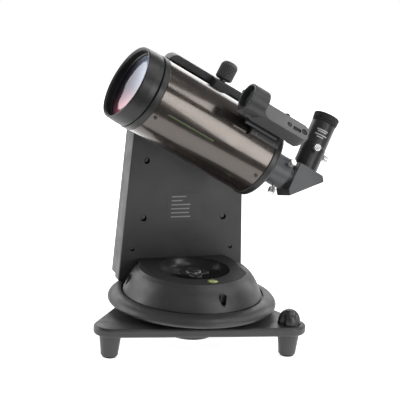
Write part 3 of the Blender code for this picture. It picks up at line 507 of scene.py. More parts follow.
def thumbscrew(name, joint, tip, wall, body):
    """Chromed thumbscrew: plain shank, knurled head and a slightly dished bright face."""
    head = wall + 0.0036
    top = head + 0.0082
    shank = soften([(0, tip), (0.0020, tip), (0.0020, head + 0.0002), (0, head + 0.0002)], 0.0002)
    rim = knurl(36, 0.00028)
    side = soften([(0.0020, head), (0.0041, head), (0.0048, head + 0.0007), (0.0048, top - 0.0007),
                   (0.0041, top), (0.0034, top), (0.0031, top - 0.0003), (0, top - 0.0002)], 0.0003)
    def shape(radius, angle, height):
        return rim(radius, angle, height) if radius > 0.0045 else radius
    solid = joined((lathe(shank, 32), WORLD), (lathe([(0, head)] + side, 144, shape), WORLD))
    make(name, solid, joint_frame(joint), CHROME, body, [body], crease=50)


# ---------------------------------------------------------------- base

def plate_line(inset, steps=24):
    """The plate's outline: an arc about each foot, joined by straight edges."""
    line = []
    for foot in FEET.values():
        angle = atan2(foot.y, foot.x)
        line += arc(foot.xy, 0.022 - inset, angle - pi / 3, angle + pi / 3, steps)
    return line


def build_base():
    pocket_roof = PLATE_TOP - 0.0035
    cuts = [(prism(plate_line(0.0042), 0.0, pocket_roof), WORLD), (cylinder(0.0083, 0.0, 0.06), WORLD)]
    for side in ("right", "rear"):
        cuts.append((cylinder(0.0042, 0.0, 0.06), shift(FEET[side])))
        pocket = cylinder(KNOB_RADIUS + 0.0008, PLATE_TOP - KNOB_SUNK, 0.06, 72)
        cuts.append((pocket, shift(FEET[side])))
    make("base_plate_skin", prism(plate_line(0.0), PLATE_BOTTOM, PLATE_TOP), WORLD, BLACK, "base",
         ["base_plate"], edge=0.0034, steps=5, cuts=cuts)
    build_underside(pocket_roof)
    build_hub()


def build_underside(roof):
    """Ribs and bosses in the plate's pocket."""
    low = PLATE_BOTTOM + 0.0008
    parts = []
    for side, foot in FEET.items():
        bore = 0.0043 if side != "left" else 0.0015
        ring = [(bore, low - 0.0006), (0.0137, low - 0.0006), (0.0142, roof + 0.0003),
                (bore, roof + 0.0003)]
        parts.append((lathe(soften(ring, 0.0004, closed=True), 48, closed=True), shift(foot)))
        angle = atan2(foot.y, foot.x)
        for offset in (-0.0085, 0.0085):
            rib = prism(box_line(0.0434, 0.0009, (0.0800, offset)), low, roof + 0.0003)
            parts.append((rib, spin(angle, "Z")))
        rib = prism(box_line(0.0009, 0.0400, (-0.0475, 0.0)), low + 0.001, roof + 0.0003)
        parts.append((rib, spin(angle, "Z")))
    ring = [(0.0345, low - 0.0006), (0.0375, low - 0.0006), (0.0380, roof + 0.0003),
            (0.0345, roof + 0.0003)]
    parts.append((lathe(ring, 72, closed=True), WORLD))
    make("base_plate_ribs", joined(*parts), WORLD, BLACK, "base")


def build_hub():
    """Round boss for a tripod, with its threaded steel bush."""
    top = PLATE_BOTTOM + 0.0005
    line = [(0.0143, 0.0, 0.0005), (0.0205, 0.0, 0.0004), (0.0210, 0.0012, 0.0003),
            (0.0262, 0.0012, 0.0003),
            (0.0266, 0.0, 0.0004), (0.0300, 0.0, 0.0010), (0.0312, 0.0020), (0.0340, top), (0.0143, top)]
    make("centre_hub_skin", lathe(soften(line, 0.0006, closed=True), 96, closed=True), WORLD, BLACK, "base",
         ["centre_hub"])
    pitch = 0.0016
    bore = [(0.0052, 0.0)]
    for i in range(8):
        bore += [(0.0049, pitch * (i + 0.2)), (0.0040, pitch * (i + 0.7))]
    bore += [(0.0040, 0.0136), (0.0, 0.0138)]
    shell = [(0.0, 0.0140), (0.0138, 0.0140), (0.0140, 0.0136), (0.0140, 0.0004), (0.0136, 0.0),
             (0.0062, 0.0)]
    make("tripod_bush_skin", lathe(shell + bore, 64), WORLD, CHROME, "base", ["tripod_bush"],
         crease=25)


def build_feet():
    for side, foot in FEET.items():
        body = "base" if side == "left" else f"{side}_foot"
        place = shift(foot)
        top = PLATE_BOTTOM - 0.0003
        line = [(0, -0.0032), (0.0097, -0.0032), (0.0098, -0.0045, 0.0003), (0.0108, -0.0045, 0.0004),
                (0.0114, -0.0036, 0.0005), (0.0117, 0.0010, 0.0004), (0.0143, 0.0222),
                (0.0146, top, 0.0003)]
        if side == "left":
            line += [(0, top)]
        else:
            line += [(0.0042, top, 0.0), (0.0042, top - 0.002, 0.0), (0, top - 0.002)]
        make(f"{side}_foot_skin", lathe(soften(line, 0.002), 72), place, BLACK, body,
             [f"{side}_foot"])
        build_pad(side, place, body)
        if side != "left":
            build_stud(side, place, body)


def build_pad(side, place, body):
    """Rubber pad with a serrated edge and a ring groove below."""
    low = FLOOR_Z
    def shape(radius, angle, height):
        beaded = radius > 0.0080 and height < FLOOR_Z + 0.0034
        return radius - (0.00045 * (0.5 - 0.5 * cos(28 * angle)) if beaded else 0.0)
    line = [(0, low), (0.0040, low), (0.0042, low + 0.0006), (0.0056, low + 0.0006), (0.0058, low),
            (0.0081, low), (0.0095, low + 0.0008), (0.0095, low + 0.0036), (0.0091, low + 0.0040),
            (0, low + 0.0040)]
    make(f"{side}_foot_pad_skin", lathe(soften(line, 0.0003, 3), 168, shape), place, RUBBER, body,
         [f"{side}_foot_pad"])


def build_stud(side, place, body):
    """Threaded steel stud that carries the foot."""
    top = PLATE_TOP + 0.0120
    low = PLATE_BOTTOM - 0.0020
    line = [(0, low)]
    pitch = 0.00125
    turns = int((top - low) / pitch)
    for i in range(turns):
        line += [(0.0031, low + pitch * (i + 0.1)), (0.0036, low + pitch * (i + 0.6))]
    line += [(0.0031, top - 0.0002), (0, top)]
    make(f"{side}_foot_stud", lathe(line, 40), place, CHROME, body, crease=25)


def build_levelling_knob(side):
    """Egg-shaped nut with four broad flutes, sunk a little into the plate."""
    body = f"{side}_levelling_knob"
    low = PLATE_TOP - KNOB_SUNK + 0.0003
    height = 0.0215
    foot = 0.0020
    line = [(0, low), (KNOB_RADIUS - 0.0022, low), (KNOB_RADIUS - 0.0006, low + 0.0004, 0.0004),
            (KNOB_RADIUS, low + foot, 0.001)]
    for i in range(1, 17):
        level = i / 16
        line.append((KNOB_RADIUS * max(0.0, 1.0 - level ** 2.7) ** 0.56,
                     low + foot + (height - foot) * level))
    facing = radians(-148)
    def shape(radius, angle, z):
        level = (z - low) / height
        flute = max(0.0, cos(4 * (angle - facing))) ** 2
        fade = min(1.0, level * 9) * max(0.0, 1.0 - level ** 3)
        return radius - 0.0034 * flute * fade * min(1.0, radius / 0.012)
    bore = (cylinder(0.0042, low - 0.01, PLATE_TOP + 0.0135, 32), shift(FEET[side]))
    make(f"{body}_skin", lathe(soften(line, 0.0003), 144, shape), shift(FEET[side]), SMOOTH_BLACK,
         body, [body], cuts=[bore])


# ---------------------------------------------------------------- turntable

def build_disc():
    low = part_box("turntable_disc")[0].z
    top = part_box("turntable_disc")[1].z
    rim = smooth_side([(0.1068, low), (0.1098, 0.0446), (0.1117, 0.0459), (0.1123, 0.0478),
                       (0.1120, 0.0495),
                       (0.1104, 0.0522), (0.1074, 0.0550), (0.1032, 0.0571), (0.0985, 0.0582)])
    line = ([(0.0083, low), (0.0850, low), (0.0860, low + 0.0012), (0.0900, low + 0.0012), (0.0910, low)]
            + rim + [(0.0952, top), (0.0948, top - 0.0004), (0.0946, top - 0.0022), (0.0915, top - 0.0022),
                     (0.0911, top), (0.0083, top)])
    make("turntable_disc_skin", lathe(line, 192, closed=True), WORLD, BLACK, "turntable",
         ["turntable_disc"], crease=30)


PANEL_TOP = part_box("top_panel")[1].z
HOUSING_SIDE = [(0.0925, 0.0588), (0.0893, 0.0660), (0.0862, 0.0730), (0.0822, 0.0800), (0.0775, 0.0860),
                (0.0742, 0.0888), (0.0722, 0.0905)]


def smooth_side(points, steps=6):
    """Catmull-Rom curve through the points."""
    padded = [points[0]] + points + [points[-1]]
    line = []
    for a, b, c, d in zip(padded, padded[1:], padded[2:], padded[3:]):
        for k in range(steps):
            s = k / steps
            weights = (-0.5 * s + s ** 2 - 0.5 * s ** 3, 1 - 2.5 * s ** 2 + 1.5 * s ** 3,
                       0.5 * s + 2 * s ** 2 - 1.5 * s ** 3, -0.5 * s ** 2 + 0.5 * s ** 3)
            line.append(tuple(sum(w * p[i] for w, p in zip(weights, (a, b, c, d))) for i in range(2)))
    return line + [points[-1]]


def panel_line(grow, back):
    """Inlay outline: a big arc in front, flat sides and cut rear corners."""
    half = 0.0645 + grow
    radius = 0.0705 + grow
    start = atan2(-(radius ** 2 - half ** 2) ** 0.5, half)
    front = arc((0, 0), radius, start, -pi - start, 48)
    corner = ARM_FACE_Y - 0.012
    return front + [(-half, corner), (-half + 0.004, back), (half - 0.004, back), (half, corner)]


def build_housing():
    """Domed cover with two screw wells in its side, cut flat against the arm."""
    outer = smooth_side(HOUSING_SIDE)
    wall = 0.0026
    inner = [(radius - wall, z - wall * 0.6 if z > 0.06 else z) for radius, z in outer]
    roof = outer[-1][1]
    line = [(0, roof)] + outer[::-1] + inner + [(0, roof - wall)]
    back_cut = prism(box_line(0.2, 0.1, (0, ARM_FACE_Y - 0.0003 + 0.1)), 0.0, 0.2)
    cuts = [(back_cut, WORLD), (prism(panel_line(0.0003, ARM_FACE_Y + 0.01), 0.080, 0.12), WORLD)]
    for angle in (radians(-81), radians(169)):
        centre = (0.0850 * cos(angle), 0.0850 * sin(angle), 0)
        cuts.append((cylinder(0.0046, 0.0650, 0.12), shift(centre)))
        cup = lathe([(0.0, 0.0652), (0.0046, 0.0652), (0.0046, 0.0790), (0.0050, 0.0790), (0.0050, 0.0644),
                     (0.0, 0.0644)], 32)
        cup_cut = prism(box_line(0.02, 0.02, (0.0222, 0)), 0.0648, 0.10)
        outwards = shift(centre) @ spin(angle, "Z")
        mark = str(round(angle * 10)).replace("-", "m")
        # The well's cup is darker than the housing: painted shade in the recess.
        make(f"housing_well_{mark}", cup, outwards, DEEP_BLACK_AND_PAINTED_SHADE, "turntable",
             cuts=[(cup_cut, outwards)])
        pan_screw(f"housing_screw_{mark}", shift(centre) @ shift((0, 0, 0.0654)), 0.0030, 0.0016,
                  "turntable")
    make("housing_skin", lathe(line, 256), WORLD, BLACK, "turntable", ["housing"],
         cuts=cuts, crease=28)


def build_top_panel():
    """Textured inlay, the smooth bowl in it and the spirit level."""
    top = PANEL_TOP
    plate = panel_line(0.0, ARM_FACE_Y - 0.0006)
    vial = shift((*box_centre("bubble_level").xy, 0.0))
    cuts = [(cylinder(0.0486, 0.05, 0.12, 128), WORLD), (cylinder(0.0076, top - 0.0014, 0.12), vial)]
    make("inlay_skin", prism(plate, top - 0.0024, top), WORLD, ROUGH_BLACK, "turntable",
         ["top_panel"], edge=0.0005, steps=2, cuts=cuts)
    side = smooth_side([(0.0300, 0.0695), (0.0365, 0.0718), (0.0405, 0.0750), (0.0448, 0.0795),
                        (0.0472, 0.0840), (0.0485, 0.0890)])
    inside = [(0.0083, 0.0695)] + side + [(0.0486, top - 0.0002), (0.0490, top + 0.0001),
                                          (0.0496, top + 0.0001)]
    outside = [(0.0502, top - 0.0004), (0.0502, 0.0880), (0.0462, 0.0735), (0.0415, 0.0712),
               (0.0310, 0.0680),
               (0.0083, 0.0680)]
    make("bowl_skin", lathe(inside + outside, 160, closed=True), WORLD, SMOOTH_BLACK, "turntable",
         crease=28)
    build_level(vial, top)
    collar = [(0.0083, 0.0693), (0.0150, 0.0693), (0.0150, 0.0722, 0.0006), (0.0135, 0.0730),
              (0.0083, 0.0730)]
    make("bowl_collar", lathe(soften(collar, 0.0003, closed=True), 72, closed=True), WORLD, CHROME,
         "turntable",
         crease=30)


def build_level(vial, top):
    """Spirit level: olive rim, a dome of pale fluid, and a black ring marked on it."""
    rim = [(0.0058, top - 0.0010), (0.0073, top - 0.0010), (0.0073, top + 0.0006, 0.0003),
           (0.0066, top + 0.0010, 0.0003), (0.0058, top + 0.0006)]
    olive = speckled_print("level_rim", (0.16, 0.18, 0.035))
    make("level_rim", lathe(soften(rim, 0.0002, closed=True), 64, closed=True), vial, olive, "turntable")
    dome = [(0, top - 0.0010), (0.0060, top - 0.0010), (0.0060, top + 0.0004), (0.0052, top + 0.0010),
            (0.0036, top + 0.0013), (0, top + 0.0014)]
    make("level_dome", lathe(soften(dome, 0.0006), 64), vial, FLUID, "turntable",
         ["bubble_level"])
    mark = lathe([(0.0024, top + 0.00120), (0.0027, top + 0.00120), (0.0027, top + 0.00140),
                  (0.0024, top + 0.00140)], 48, closed=True)
    make("level_mark", mark, vial, SMOOTH_BLACK, "turntable")


def build_star_knob():
    """Four-lobed clamp knob in the bowl, with its cap and bright ring."""
    body = "azimuth_clamp_knob"
    low = 0.0737
    make("star_lobes", prism(lobed_line(0.0220, 0.0085, 4, 24), low, 0.0860), WORLD, SMOOTH_BLACK, body,
         [body], edge=0.0022, steps=4, cuts=[(cylinder(0.0043, 0.06, 0.0846), WORLD)])
    cap = [(0, 0.0850), (0.0096, 0.0850), (0.0096, 0.0882, 0.0006), (0.0082, 0.0895, 0.0008), (0, 0.0893)]
    make("star_cap", lathe(soften(cap, 0.0003), 64), WORLD, SMOOTH_BLACK, body)
    ring = [(0.0094, 0.0862), (0.0103, 0.0862), (0.0103, 0.0870), (0.0094, 0.0872)]
    make("star_ring", lathe(soften(ring, 0.0002, closed=True), 64, closed=True), WORLD, CHROME, body)


# ---------------------------------------------------------------- arm

def arm_line(inset, low, steps=20):
    def half(z):
        return 0.0913 - 0.0567 * z - inset
    top = ARM_TOP - inset
    shoulder = 0.055 - inset
    corners = [(-half(low), low, 0.003), (half(low), low, 0.003), (half(top), top, shoulder),
               (-half(top), top, shoulder)]
    return round_corners(corners, steps)


def round_corners(corners, steps):
    """A closed outline with true arcs at its corners; the third value is each corner's radius."""
    points = []
    for i, corner in enumerate(corners):
        here = Vector(corner[:2])
        before = (Vector(corners[i - 1][:2]) - here).normalized()
        after = (Vector(corners[(i + 1) % len(corners)][:2]) - here).normalized()
        half = before.angle(after) / 2
        centre = here + (before + after).normalized() * (corner[2] / sin(half))
        first = here + before * (corner[2] / tan(half)) - centre
        last = here + after * (corner[2] / tan(half)) - centre
        start = atan2(first.y, first.x)
        sweep = (atan2(last.y, last.x) - start + pi) % (2 * pi) - pi
        points += arc(centre, corner[2], start, start + sweep, steps)
    return points


ARM_AXIS = shift((0, 0, ALTITUDE_Z)) @ spin(-pi / 2, "X")
LARGE_SCREWS = ((-0.0562, 0.2257), (-0.0564, 0.1462), (0.0558, 0.1452), (0.0560, 0.2250))
SMALL_SCREWS = ((-0.0702, 0.1036), (0.0690, 0.1023))
LARGE_WELL = 0.0042
SMALL_WELL = 0.0028


def build_arm():
    hollow = prism(arm_line(0.0040, ARM_BOTTOM + 0.004), ARM_FACE_Y + 0.0026, SHELL_BACK_Y + 0.01, "XZ")
    cuts = [(hollow, WORLD), (cylinder(0.0223, 0.0, 0.2, 96), ARM_AXIS)]
    for screws, radius, segments in ((LARGE_SCREWS, LARGE_WELL, 40), (SMALL_SCREWS, SMALL_WELL, 32)):
        for x, z in screws:
            cuts.append((cylinder(radius, 0.0, ARM_FACE_Y + 0.02, segments), into_arm(x, z)))
    make("arm_front_skin", prism(arm_line(0.0, ARM_BOTTOM), ARM_FACE_Y, SHELL_BACK_Y, "XZ"), WORLD, BLACK,
         "turntable", ["arm_front_shell"], edge=0.0018, steps=4, cuts=cuts,
         keeps=[(cylinder(0.1105, 0.0, 0.4, 160), WORLD)], crease=32)
    build_arm_details()
    build_cover()


def into_arm(x, z):
    """Frame at the face of the arm, with Z running into it."""
    return shift((x, 0, z)) @ spin(-pi / 2, "X")


def out_of_arm(x, y, z):
    """Frame on the arm's front, with Z towards the viewer."""
    return shift((x, y, z)) @ spin(pi / 2, "X")


def build_arm_details():
    for number, (x, z) in enumerate(LARGE_SCREWS, start=1):
        replaced = [f"arm_screw_{number}"] if number < len(LARGE_SCREWS) else []
        pan_screw(f"arm_screw_{number}_head", out_of_arm(x, ARM_FACE_Y + 0.0046, z), 0.0036, 0.0020,
                  "turntable",
                  replaced=replaced, shank=0.010)
        build_well(f"arm_well_{number}", x, z, LARGE_WELL)
    for number, (x, z) in enumerate(SMALL_SCREWS, start=1):
        pan_screw(f"arm_small_screw_{number}", out_of_arm(x, ARM_FACE_Y + 0.0028, z), 0.0022, 0.0014,
                  "turntable",
                  shank=0.006)
        build_well(f"arm_small_well_{number}", x, z, SMALL_WELL)
    for number, (x, z) in enumerate(((-0.0412, 0.2054), (0.0402, 0.1998)), start=1):
        ring = lathe([(0.0106, -0.0003), (0.0107, 0.00012), (0.0111, 0.00012), (0.0112, -0.0003)], 96,
                     closed=True)
        make(f"arm_ring_{number}", ring, out_of_arm(x, ARM_FACE_Y, z), BLACK, "turntable")
    build_label()


def build_well(name, x, z, radius):
    """Sleeve and floor of a screw's recess, darker than the arm: painted shade in the recess."""
    line = [(radius * 0.4, -0.0064), (radius, -0.0064), (radius, -0.0008), (radius - 0.0003, -0.0008),
            (radius - 0.0003, -0.0056), (radius * 0.4, -0.0056)]
    make(name, lathe(line, 40, closed=True), out_of_arm(x, ARM_FACE_Y + 0.0004, z), DEEP_BLACK_AND_PAINTED_SHADE, "turntable")


def build_label():
    """Blank label with plain dim bars where the print is."""
    centre_z = 0.1604
    plate = prism(round_corners([(a, b, 0.0012) for a, b in box_line(0.0230, 0.0189)], 4), -0.0002, 0.00012)
    make("arm_label", plate, out_of_arm(0.0, ARM_FACE_Y, centre_z), LABEL, "turntable")
    parts = []
    for row, length in enumerate((0.0200, 0.0150, 0.0265, 0.0255, 0.0250, 0.0275)):
        top = 0.0148 - row * 0.0056
        bar = prism(box_line(length / 2, 0.0008, (-0.0185 + length / 2, top)), 0.0, 0.00018)
        parts.append((bar, WORLD))
    make("arm_label_bars", joined(*parts), out_of_arm(0.0, ARM_FACE_Y, centre_z), DIM_INK, "turntable")


def build_cover():
    """Rear cover with a battery door, vents and the power switch in its slot."""
    front = COVER_FRONT_Y
    back = COVER_BACK_Y
    cavity = prism(arm_line(0.0120, ARM_BOTTOM + 0.0075), front - 0.01, back - 0.0035, "XZ")
    cavity_place = raw(cavity, WORLD)
    limit = cavity_place.modifiers.new("limit", "BOOLEAN")
    limit.operation = "INTERSECT"
    limit.solver = "EXACT"
    round_tool = raw(cylinder(0.1015, 0.0, 0.4, 96), WORLD)
    limit.object = round_tool
    settle(cavity_place, [round_tool])
    hollow = bmesh.new()
    hollow.from_mesh(cavity_place.data)
    bpy.data.objects.remove(cavity_place)
    cuts = [(hollow, WORLD), (prism(box_line(0.0065, 0.0045, (0.030, 0.100)), 0.09, 0.12, "XZ"), WORLD)]
    for row in range(5):
        slot = round_corners([(a, b, 0.0011) for a, b in box_line(0.0200, 0.0012,
                                                                  (0.0, 0.268 + 0.0055 * row))], 5)
        cuts.append((prism(slot, back - 0.0015, back + 0.01, "XZ"), WORLD))
    door = [(a, b, 0.006) for a, b in box_line(0.0400, 0.0480, (0.0, 0.186))]
    wide = [(a, b, 0.0066) for a, b in box_line(0.0406, 0.0486, (0.0, 0.186))]
    cuts.append((prism(round_corners(wide, 8), back - 0.0012, back + 0.01, "XZ"), WORLD))
    make("arm_rear_skin", prism(arm_line(0.0045, ARM_BOTTOM), front, back, "XZ"), WORLD, BLACK, "turntable",
         ["arm_rear_cover"], edge=0.006, steps=6, cuts=cuts,
         keeps=[(cylinder(0.1085, 0.0, 0.4, 160), WORLD)], crease=32)
    notch = [(a, b, 0.003) for a, b in box_line(0.0110, 0.0045, (0.0, 0.2255))]
    make("battery_door", prism(round_corners(door, 8), back - 0.0014, back - 0.0002, "XZ"), WORLD, BLACK,
         "turntable", edge=0.0004, steps=2,
         cuts=[(prism(round_corners(notch, 6), back - 0.0009, back + 0.01, "XZ"), WORLD)])
    toggle = [(a, b, 0.0008) for a, b in box_line(0.0030, 0.0042, (0.0285, 0.100))]
    ridges = [(prism(box_line(0.0004, 0.0060, (0.0270 + 0.0010 * i, 0.100)), back + 0.0010, back + 0.01,
                     "XZ"),
               WORLD) for i in range(4)]
    make("power_switch_cap", prism(round_corners(toggle, 4), back - 0.006, back + 0.0015, "XZ"), WORLD,
         SMOOTH_BLACK, "power_switch", ["power_switch"], edge=0.0003, steps=2, cuts=ridges)
    for number, (x, z) in enumerate(((-0.055, 0.255), (0.055, 0.255), (-0.062, 0.110), (0.062, 0.110)),
                                    start=1):
        place = shift((x, back - 0.0008, z)) @ spin(-pi / 2, "X")
        pan_screw(f"cover_screw_{number}", place, 0.0032, 0.0016, "turntable")


# ---------------------------------------------------------------- saddle and clamp

def build_saddle():
    """Channel for the dovetail bar, open towards the tube, with the clamp's lug."""
    front = SADDLE_FRONT
    back = SADDLE_BACK
    floor = back - 0.0078
    section = [(-0.040, front), (-0.0252, front), (-0.0223, front + 0.004), (-0.0223, floor),
               (0.052, floor),
               (0.052, front), (0.062, front), (0.062, back), (-0.040, back)]
    half = 0.075
    ends = round_corners([(-0.040, -half, 0.012), (0.062, -half, 0.012), (0.062, half, 0.012),
                          (-0.040, half, 0.012)], 12)
    make("saddle_skin", prism(soften(section, 0.0012, 3, closed=True), -half, half), TUBE, BLACK,
         "altitude",
         ["saddle"], cuts=[(cylinder(0.0047, 0.030, 0.080), CLAMP)],
         keeps=[(prism(ends, front - 0.01, back + 0.01, "XZ"), TUBE)], crease=32)
    lug = prism(box_line(0.0058, 0.0085, (0.0560, front - 0.0075)), -0.0155, 0.0085)
    make("saddle_lug", lug, TUBE, BLACK, "altitude", edge=0.0010,
         cuts=[(cylinder(0.0047, 0.030, 0.080), CLAMP)])


def diamond(radius, angle, height):
    """Diamond knurling on the clamp knob's side."""
    if radius < 0.0112:
        return radius
    turns = 20 * angle / (2 * pi)
    rise = height / 0.0036
    first = abs(((turns + rise) % 1.0) * 2 - 1)
    second = abs(((turns - rise) % 1.0) * 2 - 1)
    return radius - 0.0009 * (1 - min(1.0, 2.2 * min(1 - first, 1 - second)))


def build_clamp():
    head = 0.0645
    side = [(0.0116, head + 0.0018 + 0.0172 * i / 64) for i in range(65)]
    line = ([(0, head - 0.001), (0.0060, head - 0.001), (0.0060, head), (0.0098, head),
             (0.0108, head + 0.0008)]
            + side + [(0.0108, head + 0.0206), (0.0098, head + 0.0226), (0.0082, head + 0.0238),
                      (0.0060, head + 0.0246), (0, head + 0.0250)])
    make("clamp_head", lathe(line, 320, diamond), CLAMP, GREY, "clamp_knob",
         ["clamp_knob"],
         crease=60)
    screw = [(0, 0.0498), (0.0036, 0.0498), (0.0042, 0.0504)]
    pitch = 0.0010
    for i in range(11):
        screw += [(0.0042, 0.0506 + pitch * (i + 0.4)), (0.0037, 0.0506 + pitch * (i + 0.9))]
    screw += [(0.0042, 0.0622), (0.0042, head - 0.0005), (0, head - 0.0005)]
    make("clamp_screw", lathe(screw, 48), CLAMP, DARK_STEEL, "clamp_knob", crease=30)
    front = SADDLE_FRONT + 0.0015
    back = SADDLE_BACK - 0.0081
    section = [(0.0223, back), (0.0223, front + 0.0045), (0.0263, front), (0.0465, front), (0.0465, back)]
    foot = prism(box_line(0.0050, 0.0083, (0.0414, front - 0.0072)), -0.0135, 0.0065)
    jaw = joined((prism(section, -0.0335, 0.0265), WORLD), (foot, WORLD))
    make("clamp_jaw_skin", jaw, TUBE, CHROME, "clamp_jaw", ["clamp_jaw"], edge=0.0005, steps=2)
    build_dovetail()


def build_dovetail():
    inner = 0.0513
    back = SADDLE_BACK - 0.0081
    front = SADDLE_FRONT
    side = [(-0.018, inner), (0.018, inner), (0.018, front + 0.001), (0.022, front + 0.006), (0.022, back),
            (-0.022, back), (-0.022, front + 0.006), (-0.018, front + 0.001)]
    make("dovetail_skin", prism(side, -0.060, 0.060), TUBE, SATIN, "tube",
         ["dovetail_bar"],
         edge=0.0006, steps=2)


# ---------------------------------------------------------------- tube

TUBE_R = 0.0510
INK_THICKNESS = 0.00008


def build_tube():
    low = -0.0762
    high = 0.0963
    shell = [(0.0494, low), (TUBE_R, low, 0.0003), (TUBE_R, high, 0.0003), (0.0494, high)]
    make("tube_skin", lathe(soften(shell, 0.0, closed=True), 256, closed=True), TUBE, BRONZE, "tube",
         ["tube_shell"], crease=25)
    build_front_cell()
    build_lens()
    for end, (u, start) in enumerate(((0.0893, -111.0), (-0.0705, -110.6))):
        for k in range(3):
            angle = radians(start + 120 * k)
            place = TUBE @ spin(angle, "Z") @ shift((TUBE_R - 0.0002, 0, u))
            pan_screw(f"tube_screw_{end}_{k}", place @ spin(pi / 2, "Y"), 0.0027, 0.0014, "tube")
    for name, start, end, ink in (("green", -98.6, -97.9, GREEN_INK), ("pale", -97.0, -96.8, PALE_INK)):
        line = patch(TUBE_R, INK_THICKNESS, radians(start), radians(end), 0.006, 0.078, 4)
        make(f"{name}_pinstripe", line, TUBE, ink, "tube")


def build_front_cell():
    back = 0.0966
    front = 0.1058
    neck = 0.0484
    line = [(0.0440, 0.0880), (0.0491, 0.0880), (0.0491, back), (0.0512, back, 0.0002),
            (0.0518, back + 0.0006),
            (0.0518, front - 0.0012, 0.0005), (0.0510, front, 0.0003), (neck, front, 0.0002),
            (neck, 0.1172, 0.0003), (0.0467, 0.1172), (0.0467, 0.1035), (0.0440, 0.1035)]
    make("front_cell_skin", lathe(soften(line, 0.0002, 3, closed=True), 224, closed=True), TUBE, SATIN,
         "tube",
         ["front_cell"], crease=30)
    rear = 0.1066
    rim = 0.1298
    lip = 0.1178
    ring = [(neck + 0.0003, rear), (0.0504, rear, 0.0002), (0.0511, rear + 0.0008, 0.0004),
            (0.0511, 0.1150, 0.002),
            (0.0504, rim - 0.0016, 0.001), (0.0498, rim, 0.0006), (0.0486, rim, 0.0003),
            (0.0478, rim - 0.0008, 0.0003), (0.0472, rim - 0.0020, 0.0002), (0.0466, rim - 0.0026, 0.0002),
            (0.0466, 0.1205, 0.0004), (0.0450, 0.1190, 0.0003), (0.0450, lip), (neck + 0.0003, lip)]
    make("retaining_ring_skin", lathe(soften(ring, 0.0, 4, closed=True), 224, closed=True), TUBE, SATIN,
         "tube",
         ["retaining_ring"], crease=30)
    # Painted highlight: a thin ring, lighter than the cell, at the retaining ring's inner chamfer stands for that
    # edge's highlight.
    bright = [(0.04745, 0.1284), (0.04775, 0.1290), (0.0472, 0.1284), (0.0469, 0.1277)]
    make("front_painted_highlight_ring", lathe(bright, 224, closed=True), TUBE, SATIN_GREY, "tube")


def dished(edge, sag, height, steps):
    """A hollow lens face from the axis to its edge."""
    ball = (edge ** 2 + sag ** 2) / (2 * sag)
    radii = [edge * i / steps for i in range(steps + 1)]
    return [(r, height - sag + ball - (ball ** 2 - r ** 2) ** 0.5) for r in radii]


def build_lens():
    edge_front = 0.1175
    edge_back = 0.1038
    face = dished(0.0454, 0.0078, edge_front, 24)
    back = dished(0.0454, 0.0068, edge_back + 0.0028, 16)
    line = back + [(0.0464, edge_back + 0.0030), (0.0464, edge_front - 0.0008)] + face[::-1]
    make("corrector_skin", lathe(line, 192), TUBE, LENS, "tube", ["corrector_lens"],
         crease=30)


def build_rear():
    lip = -0.0765
    line = [(0.0465, -0.0660), (0.0491, -0.0660), (0.0491, lip), (0.0514, lip, 0.0002),
            (0.0520, lip - 0.0006),
            (0.0520, -0.0835, 0.002), (0.0512, -0.0858, 0.002), (0.0490, -0.0874, 0.003),
            (0.0300, -0.0900, 0.004),
            (0.0250, -0.0900, 0.0003), (0.0247, -0.0894, 0.0003), (0.0237, -0.0894, 0.0003),
            (0.0234, -0.0900, 0.0003),
            (0.0145, -0.0900), (0.0145, -0.0865), (0.0440, -0.0849), (0.0465, -0.0820)]
    focus = placed(joint_pos("focus_turn"), -TUBE_AXIS)
    hole = cylinder(0.0036, 0.05, 0.13, 32)
    make("rear_cell_skin", lathe(soften(line, 0.0003, 4, closed=True), 224, closed=True), TUBE, SATIN,
         "tube",
         ["rear_cell"], cuts=[(hole, focus)], crease=28)
    build_focus_knob()
    build_visual_back()
    for k in range(3):
        place = TUBE @ spin(radians(20 + 120 * k), "Z") @ shift((0.0385, 0, -0.0884))
        place = place @ spin(pi, "X")
        pan_screw(f"rear_cell_screw_{k}", place, 0.0022, 0.0013, "tube")


def build_focus_knob():
    local = TUBE.inverted() @ joint_pos("focus_turn")
    place = TUBE @ shift((local.x, local.y, 0))
    grip = knurl(40, 0.00045)
    def shape(radius, angle, height):
        return grip(radius, angle, height) if radius > 0.0104 else radius
    near = -0.0930
    far = -0.1080
    line = [(0, -0.0810), (0.0030, -0.0810), (0.0030, near), (0.0096, near), (0.0105, near - 0.0006),
            (0.0108, near - 0.0014), (0.0108, far + 0.0014), (0.0105, far + 0.0006), (0.0096, far),
            (0.0070, far), (0.0066, far + 0.0004), (0, far + 0.0004)]
    make("focus_knob_skin", lathe(soften(line, 0.0003, 3), 200, shape), place, SATIN, "focus_knob",
         ["focus_knob"], crease=45)


def build_visual_back():
    line = [(0.0160, -0.0903), (0.0222, -0.0903, 0.0003), (0.0222, -0.0940, 0.0004),
            (0.0216, -0.0945, 0.0003),
            (0.0214, -0.0954, 0.0004), (0.0214, -0.1248, 0.0004), (0.0207, -0.1255, 0.0004),
            (0.0172, -0.1255, 0.0003), (0.0160, -0.1248, 0.0003)]
    cuts = []
    for name in ("back_screw_a", "back_screw_b"):
        cuts.append((cylinder(0.0023, 0.012, 0.03, 32), joint_frame(f"{name}_turn")))
    make("visual_back_skin", lathe(soften(line, 0.0, 4, closed=True), 144, closed=True), TUBE, SATIN_GREY,
         "tube",
         ["visual_back"], cuts=cuts, crease=30)
    for name in ("back_screw_a", "back_screw_b"):
        thumbscrew(f"{name}_skin", f"{name}_turn", 0.0160, 0.0214, name)


# ---------------------------------------------------------------- finder

